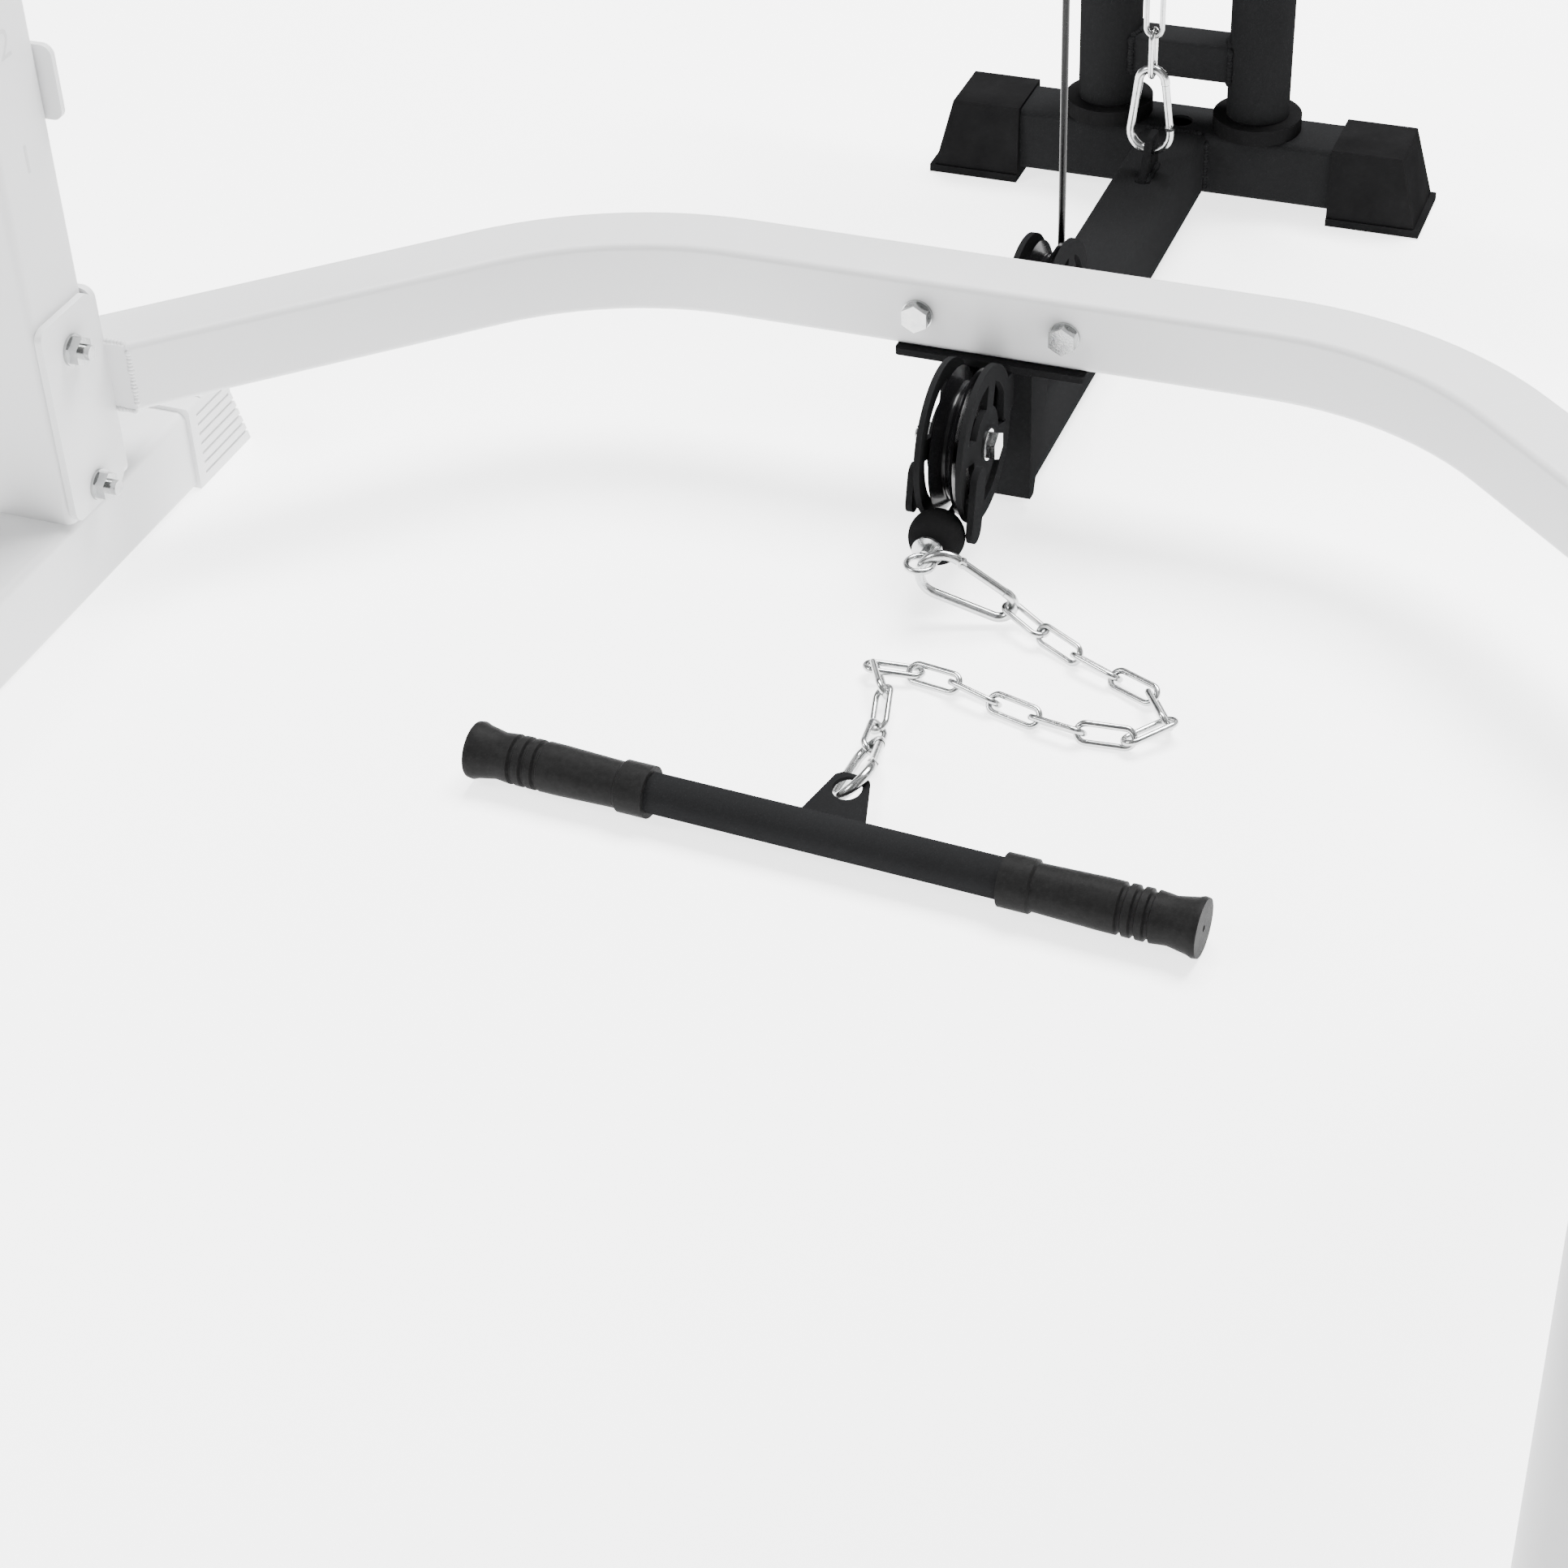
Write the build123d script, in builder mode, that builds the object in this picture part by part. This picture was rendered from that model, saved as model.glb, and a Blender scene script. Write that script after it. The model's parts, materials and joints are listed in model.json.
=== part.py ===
"""Power cage with a plate-loaded lat and low-row tower bolted to its rear crossbar.

Millimetres, +Z up. The lifter stands inside the cage facing +Y, where the pulley tower is.
The origin is on the floor in the middle of the cage's outline.
"""

import os
from math import asin, cos, hypot, pi, radians, sin, sqrt

from build123d import *

# ---------------------------------------------------------------- driving dimensions
# Cage
post_size = 60.0  # square tube of runners, uprights and top rails
post_wall = 2.5
post_corner = 6.0
cage_inner_width = 1055.0  # between the inner faces of the uprights
upright_spacing = 1050.0  # front to rear, centre to centre
rear_upright_y = 228.0
cage_height = 2050.0
overall_half_depth = 1011.0
runner_rear_y = 416.0

# Adjustment holes
hole_pitch = 75.0
first_hole_z = 305.0
hole_count = 20
hole_r = 8.5

# Rear crossbar
bar_size = 50.0  # square tube of crossbar, tower base and top beam
bar_wall = 2.5
bar_corner = 5.0
crossbar_y = 517.0
crossbar_z = 137.0
crossbar_corner_x = cage_inner_width / 2 - 251.5
crossbar_leg_angle = 43.7
crossbar_bend_r = 233.0
bracket_thickness = 5.0
bracket_bottom_z = 62.0
bracket_height = 140.0

# Tower
base_bottom_z = 8.0
base_front_y = 497.0
foot_y = 977.0
foot_length = 345.0
post_half_gap = 59.0  # guide posts stand this far each side of the middle
guide_r = 19.0
sleeve_r = guide_r + 5.0
sleeve_wall = 2.5
bumper_r = sleeve_r + 10.0
bumper_height = 12.0
carriage_height = 326.0
head_plate_thickness = 8.0
beam_bottom_z = cage_height - 10.0
beam_front_y = 122.0

# Pulleys and cable
cable_d = 5.0
cable_turn_r = 41.0  # radius of the cable's centre line round a wheel
cable_gap = 0.35
wheel_r = 48.0
wheel_width = 16.0
wheel_hub_r = 15.0
disc_r = 52.0
disc_gap = 24.0  # between the two side discs
disc_thickness = 4.0
window_outer_r = 41.0
window_inner_r = 25.0
spoke_width = 14.0
bushing_r = 8.0
running_gap = 0.05
low_axle_z = 84.0
front_low_y = 434.0
rear_low_y = 610.0
row_top_front_y = rear_low_y + 2 * cable_turn_r
row_top_rear_y = 840.0
row_top_z = beam_bottom_z - 55.0
lat_front_y = 140.0
lat_axle_z = beam_bottom_z + 104.0

# Fasteners
bolt_r = 5.0
bolt_hole_r = bolt_r + 0.4
hex_flats = 17.0
head_height = 6.5
nut_height = 9.0
bolt_tail = 6.0
washer_r = 10.5
washer_thickness = 2.0
flange_height = 2.0

# Snap hooks, chain and handles
hook_length = 72.0
hook_wire_r = 3.25
hook_wide_r = 15.25
hook_narrow_r = 10.0
link_wire_r = 2.0
link_length = 40.0
link_width = 16.0
link_gap = 0.4
ball_r = 18.5
ring_r = 9.0
ring_wire_r = 2.0
row_bar_length = 448.0
lat_bar_length = 940.0
handle_r = 12.5
grip_length = 118.0
grip_r = 15.5

# Derived positions
inner_x = cage_inner_width / 2
post_x = inner_x + post_size / 2
outer_x = inner_x + post_size
front_upright_y = rear_upright_y - upright_spacing
half_post = post_size / 2
half_bar = bar_size / 2
runner_front_y = -overall_half_depth
rear_face_y = rear_upright_y + half_post
base_top_z = base_bottom_z + bar_size
beam_top_z = beam_bottom_z + bar_size
beam_z = beam_bottom_z + half_bar
pitch = link_length - 4 * link_wire_r - link_gap
row_run_z = low_axle_z - cable_turn_r
row_rise_y = rear_low_y + cable_turn_r
row_fall_y = row_top_rear_y + cable_turn_r
lat_rear_y = foot_y - cable_turn_r
lat_bar_y = lat_front_y - cable_turn_r
rail_z = cage_height - 70.0
hook_reach = hook_length - 2 * hook_wire_r  # centre line, end to end
hook_grip = hook_wire_r + link_wire_r + 0.3

os.makedirs("parts", exist_ok=True)


# ---------------------------------------------------------------- repeated shapes
def square_tube(start, direction, length, size, wall, corner):
    """Hollow square tube from a start point along a direction."""
    with BuildPart() as tube:
        with BuildSketch(Plane(origin=start, z_dir=direction)):
            RectangleRounded(size, size, corner)
            inside = size - 2 * wall
            RectangleRounded(inside, inside, corner - wall, mode=Mode.SUBTRACT)
        extrude(amount=length)
    return tube.part


def rod(start, direction, length, radius, bore=0.0):
    """Round bar, or a round tube when it has a bore."""
    with BuildPart() as bar:
        with BuildSketch(Plane(origin=start, z_dir=direction)):
            Circle(radius)
            if bore:
                Circle(bore, mode=Mode.SUBTRACT)
        extrude(amount=length)
    return bar.part


def block(low, high):
    """Rectangular block between two corners."""
    middle = tuple((a + b) / 2 for a, b in zip(low, high))
    with BuildPart() as solid:
        with Locations(middle):
            Box(high[0] - low[0], high[1] - low[1], high[2] - low[2])
    return solid.part


def plate(plane, width, height, thickness, corner, holes=(), radius=bolt_hole_r):
    """Flat plate with rounded corners, drawn on a plane, with round holes."""
    with BuildPart() as sheet:
        with BuildSketch(plane):
            RectangleRounded(width, height, corner)
            if holes:
                with Locations(*holes):
                    Circle(radius, mode=Mode.SUBTRACT)
        extrude(amount=thickness)
    return sheet.part


def hex_bolt(seat, direction, length):
    """Hexagon bolt whose head stands on its seat, with its washer flange."""
    with BuildPart() as bolt:
        with BuildSketch(Plane(origin=seat, z_dir=direction)):
            Circle(washer_r)
        extrude(amount=-flange_height)
        head_plane = Plane(origin=seat, z_dir=direction).offset(-flange_height)
        with BuildSketch(head_plane):
            RegularPolygon(hex_flats / 2, 6, major_radius=False)
        extrude(amount=-head_height)
        with BuildSketch(Plane(origin=seat, z_dir=direction)):
            Circle(bolt_r)
        extrude(amount=length)
    return bolt.part


def flange_nut(seat, direction):
    """Flanged hexagon nut standing on its seat, bored clear of the thread."""
    with BuildPart() as nut:
        with BuildSketch(Plane(origin=seat, z_dir=direction)):
            Circle(washer_r)
        extrude(amount=flange_height)
        with BuildSketch(Plane(origin=seat, z_dir=direction)):
            RegularPolygon(hex_flats / 2, 6, major_radius=False)
        extrude(amount=nut_height)
        with BuildSketch(Plane(origin=seat, z_dir=direction)):
            Circle(bolt_r + running_gap)
        extrude(amount=nut_height, mode=Mode.SUBTRACT)
    return nut.part


def export(part, name):
    """Labels one finished piece and writes it."""
    part.label = name
    export_step(part, f"parts/{name}.step")


# ---------------------------------------------------------------- cage runners
foot_bolt_z = (75.0, 175.0)
foot_plate_thickness = 4.0
foot_plate_top = 202.0
cap_length = 71.0
cap_slope = 22.0
cap_solid_end = 12.0  # rubber past the end of the tube

for side, name in ((-1, "left"), (1, "right")):
    with BuildPart() as runner:
        start_y = runner_front_y + cap_solid_end
        run_length = runner_rear_y - runner_front_y - 2 * cap_solid_end
        add(square_tube((side * post_x, start_y, half_post), (0, 1, 0), run_length,
                        post_size, post_wall, post_corner))
        for y in (front_upright_y, rear_upright_y):
            face = Plane(origin=(side * outer_x, y, foot_plate_top / 2 + 4.0),
                         x_dir=(0, 1, 0), z_dir=(side, 0, 0))
            holes = [(0, side * (z - foot_plate_top / 2 - 4.0)) for z in foot_bolt_z]
            add(plate(face, post_size, foot_plate_top - 8.0, foot_plate_thickness, 8.0, holes))
    export(runner.part, f"{name}_base_runner")

cap_wall = 3.0
cap_lip = 9.0  # smooth band round the mouth
rib_depth = 1.3
rib_step = 7.6
rib_width = 2.4
rib_count = 7


def cap_grooves(x, end, inner_y, tip_y):
    """Level grooves round the sides and the sloping end of a boot, behind its smooth lip."""
    lip_y = inner_y + end * cap_lip
    reach = half_post + cap_wall + 1.0
    core_tip = tip_y - end * rib_depth
    near, far = sorted((lip_y, tip_y + end * 1.0))
    core_start = lip_y - end * 1.0
    with BuildPart() as grooves:
        for index in range(rib_count):
            low = 7.0 + rib_step * index
            add(block((x - reach, near, low), (x + reach, far, low + rib_width)))
        with BuildSketch(Plane.YZ.offset(x - half_post - cap_wall + rib_depth)):
            Polygon((core_start, 0.0), (core_tip, 0.0), (core_tip - end * cap_slope, post_size + cap_wall),
                    (core_start, post_size + cap_wall), align=None)
        extrude(amount=post_size + 2 * cap_wall - 2 * rib_depth, mode=Mode.SUBTRACT)
    return grooves.part


def runner_cap(side, end, tip_y):
    """Ribbed rubber boot over one end of a runner, open below the tube."""
    inner_y = tip_y - end * cap_length
    tube_end = tip_y - end * cap_solid_end
    x = side * post_x
    reach = half_post + cap_wall + 1.0
    with BuildPart() as cap:
        with BuildSketch(Plane.YZ.offset(x - half_post - cap_wall)):
            Polygon((inner_y, 0), (tip_y, 0), (tip_y - end * cap_slope, post_size + cap_wall),
                    (inner_y, post_size + cap_wall), align=None)
        extrude(amount=post_size + 2 * cap_wall)
        top_edges = cap.edges().filter_by(Axis.Y).group_by(Axis.Z)[-1]
        fillet(top_edges, cap_wall)
        add(cap_grooves(x, end, inner_y, tip_y), mode=Mode.SUBTRACT)
        line_y = inner_y + end * (cap_lip + 9.0)
        add(block((x - reach, line_y - 0.8, post_size + cap_wall - rib_depth),
                  (x + reach, line_y + 0.8, post_size + cap_wall + 1.0)), mode=Mode.SUBTRACT)
        with BuildSketch(Plane(origin=(x, tube_end, half_post), z_dir=(0, -end, 0))):
            RectangleRounded(post_size, post_size, post_corner)
        extrude(amount=cap_length, mode=Mode.SUBTRACT)
    return cap.part


with BuildPart() as runner_end_caps:
    for side in (-1, 1):
        add(runner_cap(side, -1, runner_front_y))
        add(runner_cap(side, 1, runner_rear_y))
export(runner_end_caps.part, "runner_end_caps")

# ---------------------------------------------------------------- uprights
rail_bolt_offset = 43.0
crossbar_bolt_offset = 57.0
peg_z = 343.0

for end, y in (("front", front_upright_y), ("rear", rear_upright_y)):
    for side, name in ((-1, "left"), (1, "right")):
        with BuildPart() as upright:
            add(square_tube((side * post_x, y, post_size), (0, 0, 1), cage_height - post_size,
                            post_size, post_wall, post_corner))
            across = Plane(origin=(side * post_x - half_post - 5.0, y, 0), x_dir=(0, 1, 0), z_dir=(1, 0, 0))
            with BuildSketch(across):
                with Locations(*[(0, z) for z in foot_bolt_z]):
                    Circle(bolt_hole_r)
                with Locations((0, rail_z - crossbar_bolt_offset), (0, rail_z + crossbar_bolt_offset)):
                    Circle(bolt_hole_r)
            extrude(amount=post_size + 10.0, mode=Mode.SUBTRACT)
            along = Plane(origin=(side * post_x, y + half_post + 5.0, 0), x_dir=(1, 0, 0), z_dir=(0, -1, 0))
            with BuildSketch(along):
                with Locations(*[(0, first_hole_z + index * hole_pitch) for index in range(hole_count)]):
                    Circle(hole_r)
                with Locations((0, rail_z - rail_bolt_offset), (0, rail_z + rail_bolt_offset)):
                    Circle(bolt_hole_r)
            extrude(amount=post_size + 10.0, mode=Mode.SUBTRACT)
        export(upright.part, f"{end}_{name}_upright")

# ---------------------------------------------------------------- rear crossbar and its brackets
leg = radians(crossbar_leg_angle)
leg_end_y = rear_face_y + bracket_thickness
leg_end_x = crossbar_corner_x + (crossbar_y - leg_end_y) / sin(leg) * cos(leg)
overrun = 60.0
reach_x = leg_end_x + overrun * cos(leg)
reach_y = leg_end_y - overrun * sin(leg)


def crossbar_end(side):
    """Plate that closes one end of the crossbar, level with its cut."""
    with BuildPart() as closing:
        with BuildSketch(Plane(origin=(side * reach_x, reach_y, crossbar_z),
                               z_dir=(-side * cos(leg), sin(leg), 0), x_dir=(0, 0, 1))):
            RectangleRounded(bar_size, bar_size, bar_corner)
        extrude(amount=3.0 * overrun)
        split(bisect_by=Plane(origin=(0, leg_end_y, 0), z_dir=(0, 1, 0)), keep=Keep.TOP)
        split(bisect_by=Plane(origin=(0, leg_end_y + 3.0, 0), z_dir=(0, 1, 0)), keep=Keep.BOTTOM)
    return closing.part


with BuildPart() as rear_crossbar:
    with BuildLine(Plane.XY.offset(crossbar_z)) as crossbar_path:
        FilletPolyline((-reach_x, reach_y), (-crossbar_corner_x, crossbar_y),
                       (crossbar_corner_x, crossbar_y), (reach_x, reach_y), radius=crossbar_bend_r)
    with BuildSketch(Plane(origin=(-reach_x, reach_y, crossbar_z), z_dir=(cos(leg), sin(leg), 0),
                           x_dir=(0, 0, 1))):
        RectangleRounded(bar_size, bar_size, bar_corner)
        RectangleRounded(bar_size - 2 * bar_wall, bar_size - 2 * bar_wall, bar_corner - bar_wall,
                         mode=Mode.SUBTRACT)
    sweep(path=crossbar_path.line)
    split(bisect_by=Plane(origin=(0, leg_end_y, 0), z_dir=(0, 1, 0)), keep=Keep.TOP)
    for side in (-1, 1):
        add(crossbar_end(side))
    with BuildSketch(Plane(origin=(0, crossbar_y + half_bar + 5.0, crossbar_z), x_dir=(1, 0, 0),
                           z_dir=(0, -1, 0))):
        with Locations((-50.0, 0), (50.0, 0)):
            Circle(bolt_hole_r)
    extrude(amount=bar_size + 10.0, mode=Mode.SUBTRACT)
export(rear_crossbar.part, "rear_crossbar")

bracket_z = bracket_bottom_z + bracket_height / 2


def crossbar_bracket(side):
    """Folded plate bolted to the inner face of an upright, its rear leg carrying the crossbar."""
    inner_face = Plane(origin=(side * inner_x, rear_upright_y, bracket_z), x_dir=(0, 1, 0),
                       z_dir=(-side, 0, 0))
    holes = [(0, -side * (z - bracket_z)) for z in foot_bolt_z]
    rear_plane = Plane(origin=(side * (post_x - bracket_thickness / 2), rear_face_y, bracket_z),
                       x_dir=(1, 0, 0), z_dir=(0, 1, 0))
    near, far = sorted((side * inner_x, side * (inner_x - bracket_thickness)))
    with BuildPart() as bracket:
        add(plate(inner_face, post_size, bracket_height, bracket_thickness, 8.0, holes))
        add(plate(rear_plane, post_size + bracket_thickness, bracket_height, bracket_thickness, 8.0))
        add(block((near, rear_face_y - 8.0, bracket_bottom_z + 8.0),
                  (far, rear_face_y + bracket_thickness, bracket_bottom_z + bracket_height - 8.0)))
    return bracket.part


with BuildPart() as crossbar_brackets:
    for side in (-1, 1):
        add(crossbar_bracket(side))
export(crossbar_brackets.part, "crossbar_brackets")

# ---------------------------------------------------------------- top rails
end_plate_thickness = 5.0
end_plate_height = 140.0


def end_plate(origin, x_dir, z_dir, bolt_offset):
    """Bolting plate welded to the end of a rail."""
    face = Plane(origin=origin, x_dir=x_dir, z_dir=z_dir)
    return plate(face, post_size, end_plate_height, end_plate_thickness, 6.0,
                 [(0, -bolt_offset), (0, bolt_offset)])


for side, name in ((-1, "left"), (1, "right")):
    with BuildPart() as top_rail:
        rail_start = front_upright_y + half_post
        rail_length = upright_spacing - post_size
        x = side * post_x
        add(end_plate((x, rail_start, rail_z), (1, 0, 0), (0, 1, 0), rail_bolt_offset))
        add(end_plate((x, rail_start + rail_length, rail_z), (1, 0, 0), (0, -1, 0), rail_bolt_offset))
        add(square_tube((x, rail_start + end_plate_thickness, rail_z), (0, 1, 0),
                        rail_length - 2 * end_plate_thickness, post_size, post_wall, post_corner))
    export(top_rail.part, f"{name}_top_rail")

saddle_half_pitch = 52.0
with BuildPart() as rear_top_crossbar:
    add(end_plate((-inner_x, rear_upright_y, rail_z), (0, 1, 0), (1, 0, 0), crossbar_bolt_offset))
    add(end_plate((inner_x, rear_upright_y, rail_z), (0, 1, 0), (-1, 0, 0), crossbar_bolt_offset))
    add(square_tube((-inner_x + end_plate_thickness, rear_upright_y, rail_z), (1, 0, 0),
                    cage_inner_width - 2 * end_plate_thickness, post_size, post_wall, post_corner))
    with BuildSketch(Plane.XY.offset(rail_z - half_post - 5.0)):
        with Locations((-saddle_half_pitch, rear_upright_y), (saddle_half_pitch, rear_upright_y)):
            Circle(bolt_hole_r)
    extrude(amount=post_size + 10.0, mode=Mode.SUBTRACT)
export(rear_top_crossbar.part, "rear_top_crossbar")

pull_up_r = 16.0
with BuildPart() as pull_up_bar:
    add(end_plate((-inner_x, front_upright_y, rail_z), (0, 1, 0), (1, 0, 0), crossbar_bolt_offset))
    add(end_plate((inner_x, front_upright_y, rail_z), (0, 1, 0), (-1, 0, 0), crossbar_bolt_offset))
    add(rod((-inner_x + end_plate_thickness, front_upright_y, rail_z), (1, 0, 0),
            cage_inner_width - 2 * end_plate_thickness, pull_up_r, pull_up_r - 2.5))
export(pull_up_bar.part, "pull_up_bar")

# ---------------------------------------------------------------- plate storage pegs
peg_r = 12.5
peg_length = 200.0
peg_clamp_thickness = 4.0
peg_overhang = 10.0
peg_plate_height = 49.0
peg_wall = 2.0



def plate_peg(side):
    """Clamp plate with its peg, which points away from the cage."""
    clamp_width = post_size + peg_overhang + peg_clamp_thickness
    flange_x = side * (inner_x - peg_overhang + clamp_width / 2)
    flange = Plane(origin=(flange_x, rear_face_y, peg_z), x_dir=(1, 0, 0), z_dir=(0, 1, 0))
    web = Plane(origin=(side * outer_x, rear_upright_y, peg_z), x_dir=(0, 1, 0), z_dir=(side, 0, 0))
    near, far = sorted((side * outer_x, side * (outer_x + peg_clamp_thickness)))
    with BuildPart() as peg:
        add(plate(flange, clamp_width, peg_plate_height, peg_clamp_thickness, 7.0))
        add(plate(web, post_size, peg_plate_height, peg_clamp_thickness, 7.0))
        add(block((near, rear_face_y - 8.0, peg_z - peg_plate_height / 2 + 7.0),
                  (far, rear_face_y + peg_clamp_thickness, peg_z + peg_plate_height / 2 - 7.0)))
        add(rod((side * (outer_x + peg_clamp_thickness), rear_upright_y, peg_z), (side, 0, 0), peg_length,
                peg_r, peg_r - peg_wall))
    return peg.part


with BuildPart() as plate_pegs:
    for side in (-1, 1):
        add(plate_peg(side))
export(plate_pegs.part, "plate_pegs")

# ---------------------------------------------------------------- plastic plugs in open tube ends
plug_rim = 3.0
plug_depth = 6.0
with BuildPart() as tube_plugs:
    for side in (-1, 1):
        for y in (front_upright_y, rear_upright_y):
            with BuildSketch(Plane.XY.offset(cage_height)):
                with Locations((side * post_x, y)):
                    RectangleRounded(post_size, post_size, post_corner)
            extrude(amount=plug_rim)
            with BuildSketch(Plane.XY.offset(cage_height)):
                with Locations((side * post_x, y)):
                    Rectangle(post_size - 2 * post_wall - 8.0, post_size - 2 * post_wall - 8.0)
            extrude(amount=-plug_depth)
        peg_tip = side * (outer_x + peg_clamp_thickness + peg_length)
        add(rod((peg_tip, rear_upright_y, peg_z), (side, 0, 0), plug_rim, peg_r))
        add(rod((peg_tip, rear_upright_y, peg_z), (-side, 0, 0), 15.0, peg_r - 2.2))
export(tube_plugs.part, "tube_plugs")

# ---------------------------------------------------------------- safety bars, pins and bar hooks
safety_hole = 6
hook_hole = 14
safety_z = first_hole_z + safety_hole * hole_pitch
bar_hook_z = first_hole_z + hook_hole * hole_pitch
safety_end_gap = 1.0
safety_plate_thickness = 5.0
pin_r = 7.9
stud_r = 8.2
stud_length = 40.0
inside_front = front_upright_y + half_post
inside_rear = rear_upright_y - half_post



def safety_bar(side):
    """Spotter bar between the uprights, with a stud for the rear hole and a pin hole in front."""
    x = side * post_x
    front_face = inside_front + safety_end_gap
    rear_face = inside_rear - safety_end_gap
    with BuildPart() as bar:
        add(plate(Plane(origin=(x, front_face, safety_z), x_dir=(1, 0, 0), z_dir=(0, 1, 0)),
                  post_size, 80.0, safety_plate_thickness, 6.0, [(0, 0)], hole_r))
        add(plate(Plane(origin=(x, rear_face, safety_z), x_dir=(1, 0, 0), z_dir=(0, -1, 0)),
                  post_size, 80.0, safety_plate_thickness, 6.0))
        add(square_tube((x, front_face + safety_plate_thickness, safety_z), (0, 1, 0),
                        rear_face - front_face - 2 * safety_plate_thickness,
                        bar_size, bar_wall, bar_corner))
        add(rod((x, rear_face, safety_z), (0, 1, 0), stud_length, stud_r))
    return bar.part


with BuildPart() as safety_bars:
    for side in (-1, 1):
        add(safety_bar(side))
export(safety_bars.part, "safety_bars")

for side, name in ((-1, "left"), (1, "right")):
    with BuildPart() as safety_pin:
        knob_y = front_upright_y - half_post
        add(rod((side * post_x, knob_y - 2.0, safety_z), (0, 1, 0), post_size + 34.0, pin_r))
        add(rod((side * post_x, knob_y - 2.0, safety_z), (0, -1, 0), 4.0, 14.0))
        add(rod((side * post_x, knob_y - 6.0, safety_z), (0, -1, 0), 30.0, 11.0))
    export(safety_pin.part, f"{name}_safety_pin")

for side, name in ((-1, "left"), (1, "right")):
    hook_x = side * post_x
    back_y = inside_front + 1.0
    cup_depth = 70.0
    with BuildPart() as bar_hook:
        add(plate(Plane(origin=(hook_x, back_y, bar_hook_z - 20.0), x_dir=(1, 0, 0), z_dir=(0, 1, 0)),
                  56.0, 110.0, 6.0, 10.0))
        add(rod((hook_x, back_y, bar_hook_z), (0, -1, 0), post_size + 6.0, hole_r - 0.08))
        with BuildSketch(Plane.YZ.offset(hook_x - 22.0)):
            with BuildLine():
                Polyline((back_y + 6.0, bar_hook_z - 74.0), (back_y + cup_depth, bar_hook_z - 62.0),
                         (back_y + cup_depth + 6.0, bar_hook_z - 20.0), (back_y + cup_depth, bar_hook_z - 20.0),
                         (back_y + cup_depth - 6.0, bar_hook_z - 54.0), (back_y + 6.0, bar_hook_z - 64.0),
                         close=True)
            make_face()
        extrude(amount=44.0)
    export(bar_hook.part, f"{name}_bar_hook")

# ---------------------------------------------------------------- tower base and foot
slot_half_width = 10.0
slot_half_length = 44.0
foot_front_y = foot_y - half_bar
eye_y = row_fall_y
eye_hole_z = base_top_z + 15.0
eye_hole_r = 6.5
eye_thickness = 5.0

with BuildPart() as tower_foot_tube:
    add(square_tube((-foot_length / 2, foot_y, base_bottom_z + half_bar), (1, 0, 0), foot_length,
                    bar_size, bar_wall, bar_corner))
    with BuildSketch(Plane.XY.offset(base_top_z + 1.0)):
        with Locations((0, foot_y - 6.0)):
            Circle(9.5)
    extrude(amount=-6.0, mode=Mode.SUBTRACT)
export(tower_foot_tube.part, "tower_foot_tube")

foot_cap_inner = 124.0
foot_cap_outer = 196.0
foot_cap_half = 34.0
foot_cap_taper = 18.0


def foot_cap(side):
    """Rubber boot on one end of the tower's foot, wider at the floor."""
    low_x = side * (foot_cap_inner + foot_cap_outer) / 2
    low_width = foot_cap_outer - foot_cap_inner
    top_width = low_width - foot_cap_taper
    flange_z = 6.0
    with BuildPart() as cap:
        with BuildSketch(Plane.XY):
            with Locations((low_x, foot_y)):
                Rectangle(low_width, 2 * foot_cap_half)
        with BuildSketch(Plane.XY.offset(flange_z)):
            with Locations((low_x, foot_y)):
                Rectangle(low_width, 2 * foot_cap_half - 1.0)
        loft()
        with BuildSketch(Plane.XY.offset(flange_z)):
            with Locations((side * (foot_cap_inner + low_width / 2 - 2.0), foot_y)):
                Rectangle(low_width - 4.0, 2 * foot_cap_half - 4.0)
        with BuildSketch(Plane.XY.offset(base_top_z + 2.5)):
            with Locations((side * (foot_cap_inner + top_width / 2), foot_y)):
                Rectangle(top_width, bar_size + 6.0)
        loft()
        with BuildSketch(Plane(origin=(side * foot_length / 2, foot_y, base_bottom_z + half_bar),
                               z_dir=(-side, 0, 0))):
            RectangleRounded(bar_size, bar_size, bar_corner)
        extrude(amount=foot_length / 2 - foot_cap_inner + 5.0, mode=Mode.SUBTRACT)
    return cap.part


with BuildPart() as tower_foot_caps:
    for side in (-1, 1):
        add(foot_cap(side))
export(tower_foot_caps.part, "tower_foot_caps")


# ---------------------------------------------------------------- side discs of the low pulleys
def side_disc(inner_face_x, centre_y, centre_z):
    """Round cheek plate with four windows, outward from its inner face."""
    side = 1 if inner_face_x > 0 else -1
    face = Plane(origin=(inner_face_x, centre_y, centre_z), x_dir=(0, 1, 0), z_dir=(side, 0, 0))
    with BuildPart() as disc:
        with BuildSketch(face):
            Circle(disc_r)
            Circle(window_outer_r, mode=Mode.SUBTRACT)
            for angle in (72.0, 162.0):
                Rectangle(2 * window_outer_r + 4.0, spoke_width, rotation=side * angle)
            Circle(window_inner_r)
            Circle(bolt_hole_r, mode=Mode.SUBTRACT)
        extrude(amount=disc_thickness)
    return disc.part


def rear_cheek(side):
    """Side disc of the rear pulley, cut level with the top of the base tube it is welded to."""
    with BuildPart() as cheek:
        add(side_disc(side * disc_gap / 2, rear_low_y, low_axle_z))
        split(bisect_by=Plane.XY.offset(base_top_z), keep=Keep.TOP)
    return cheek.part


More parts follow.
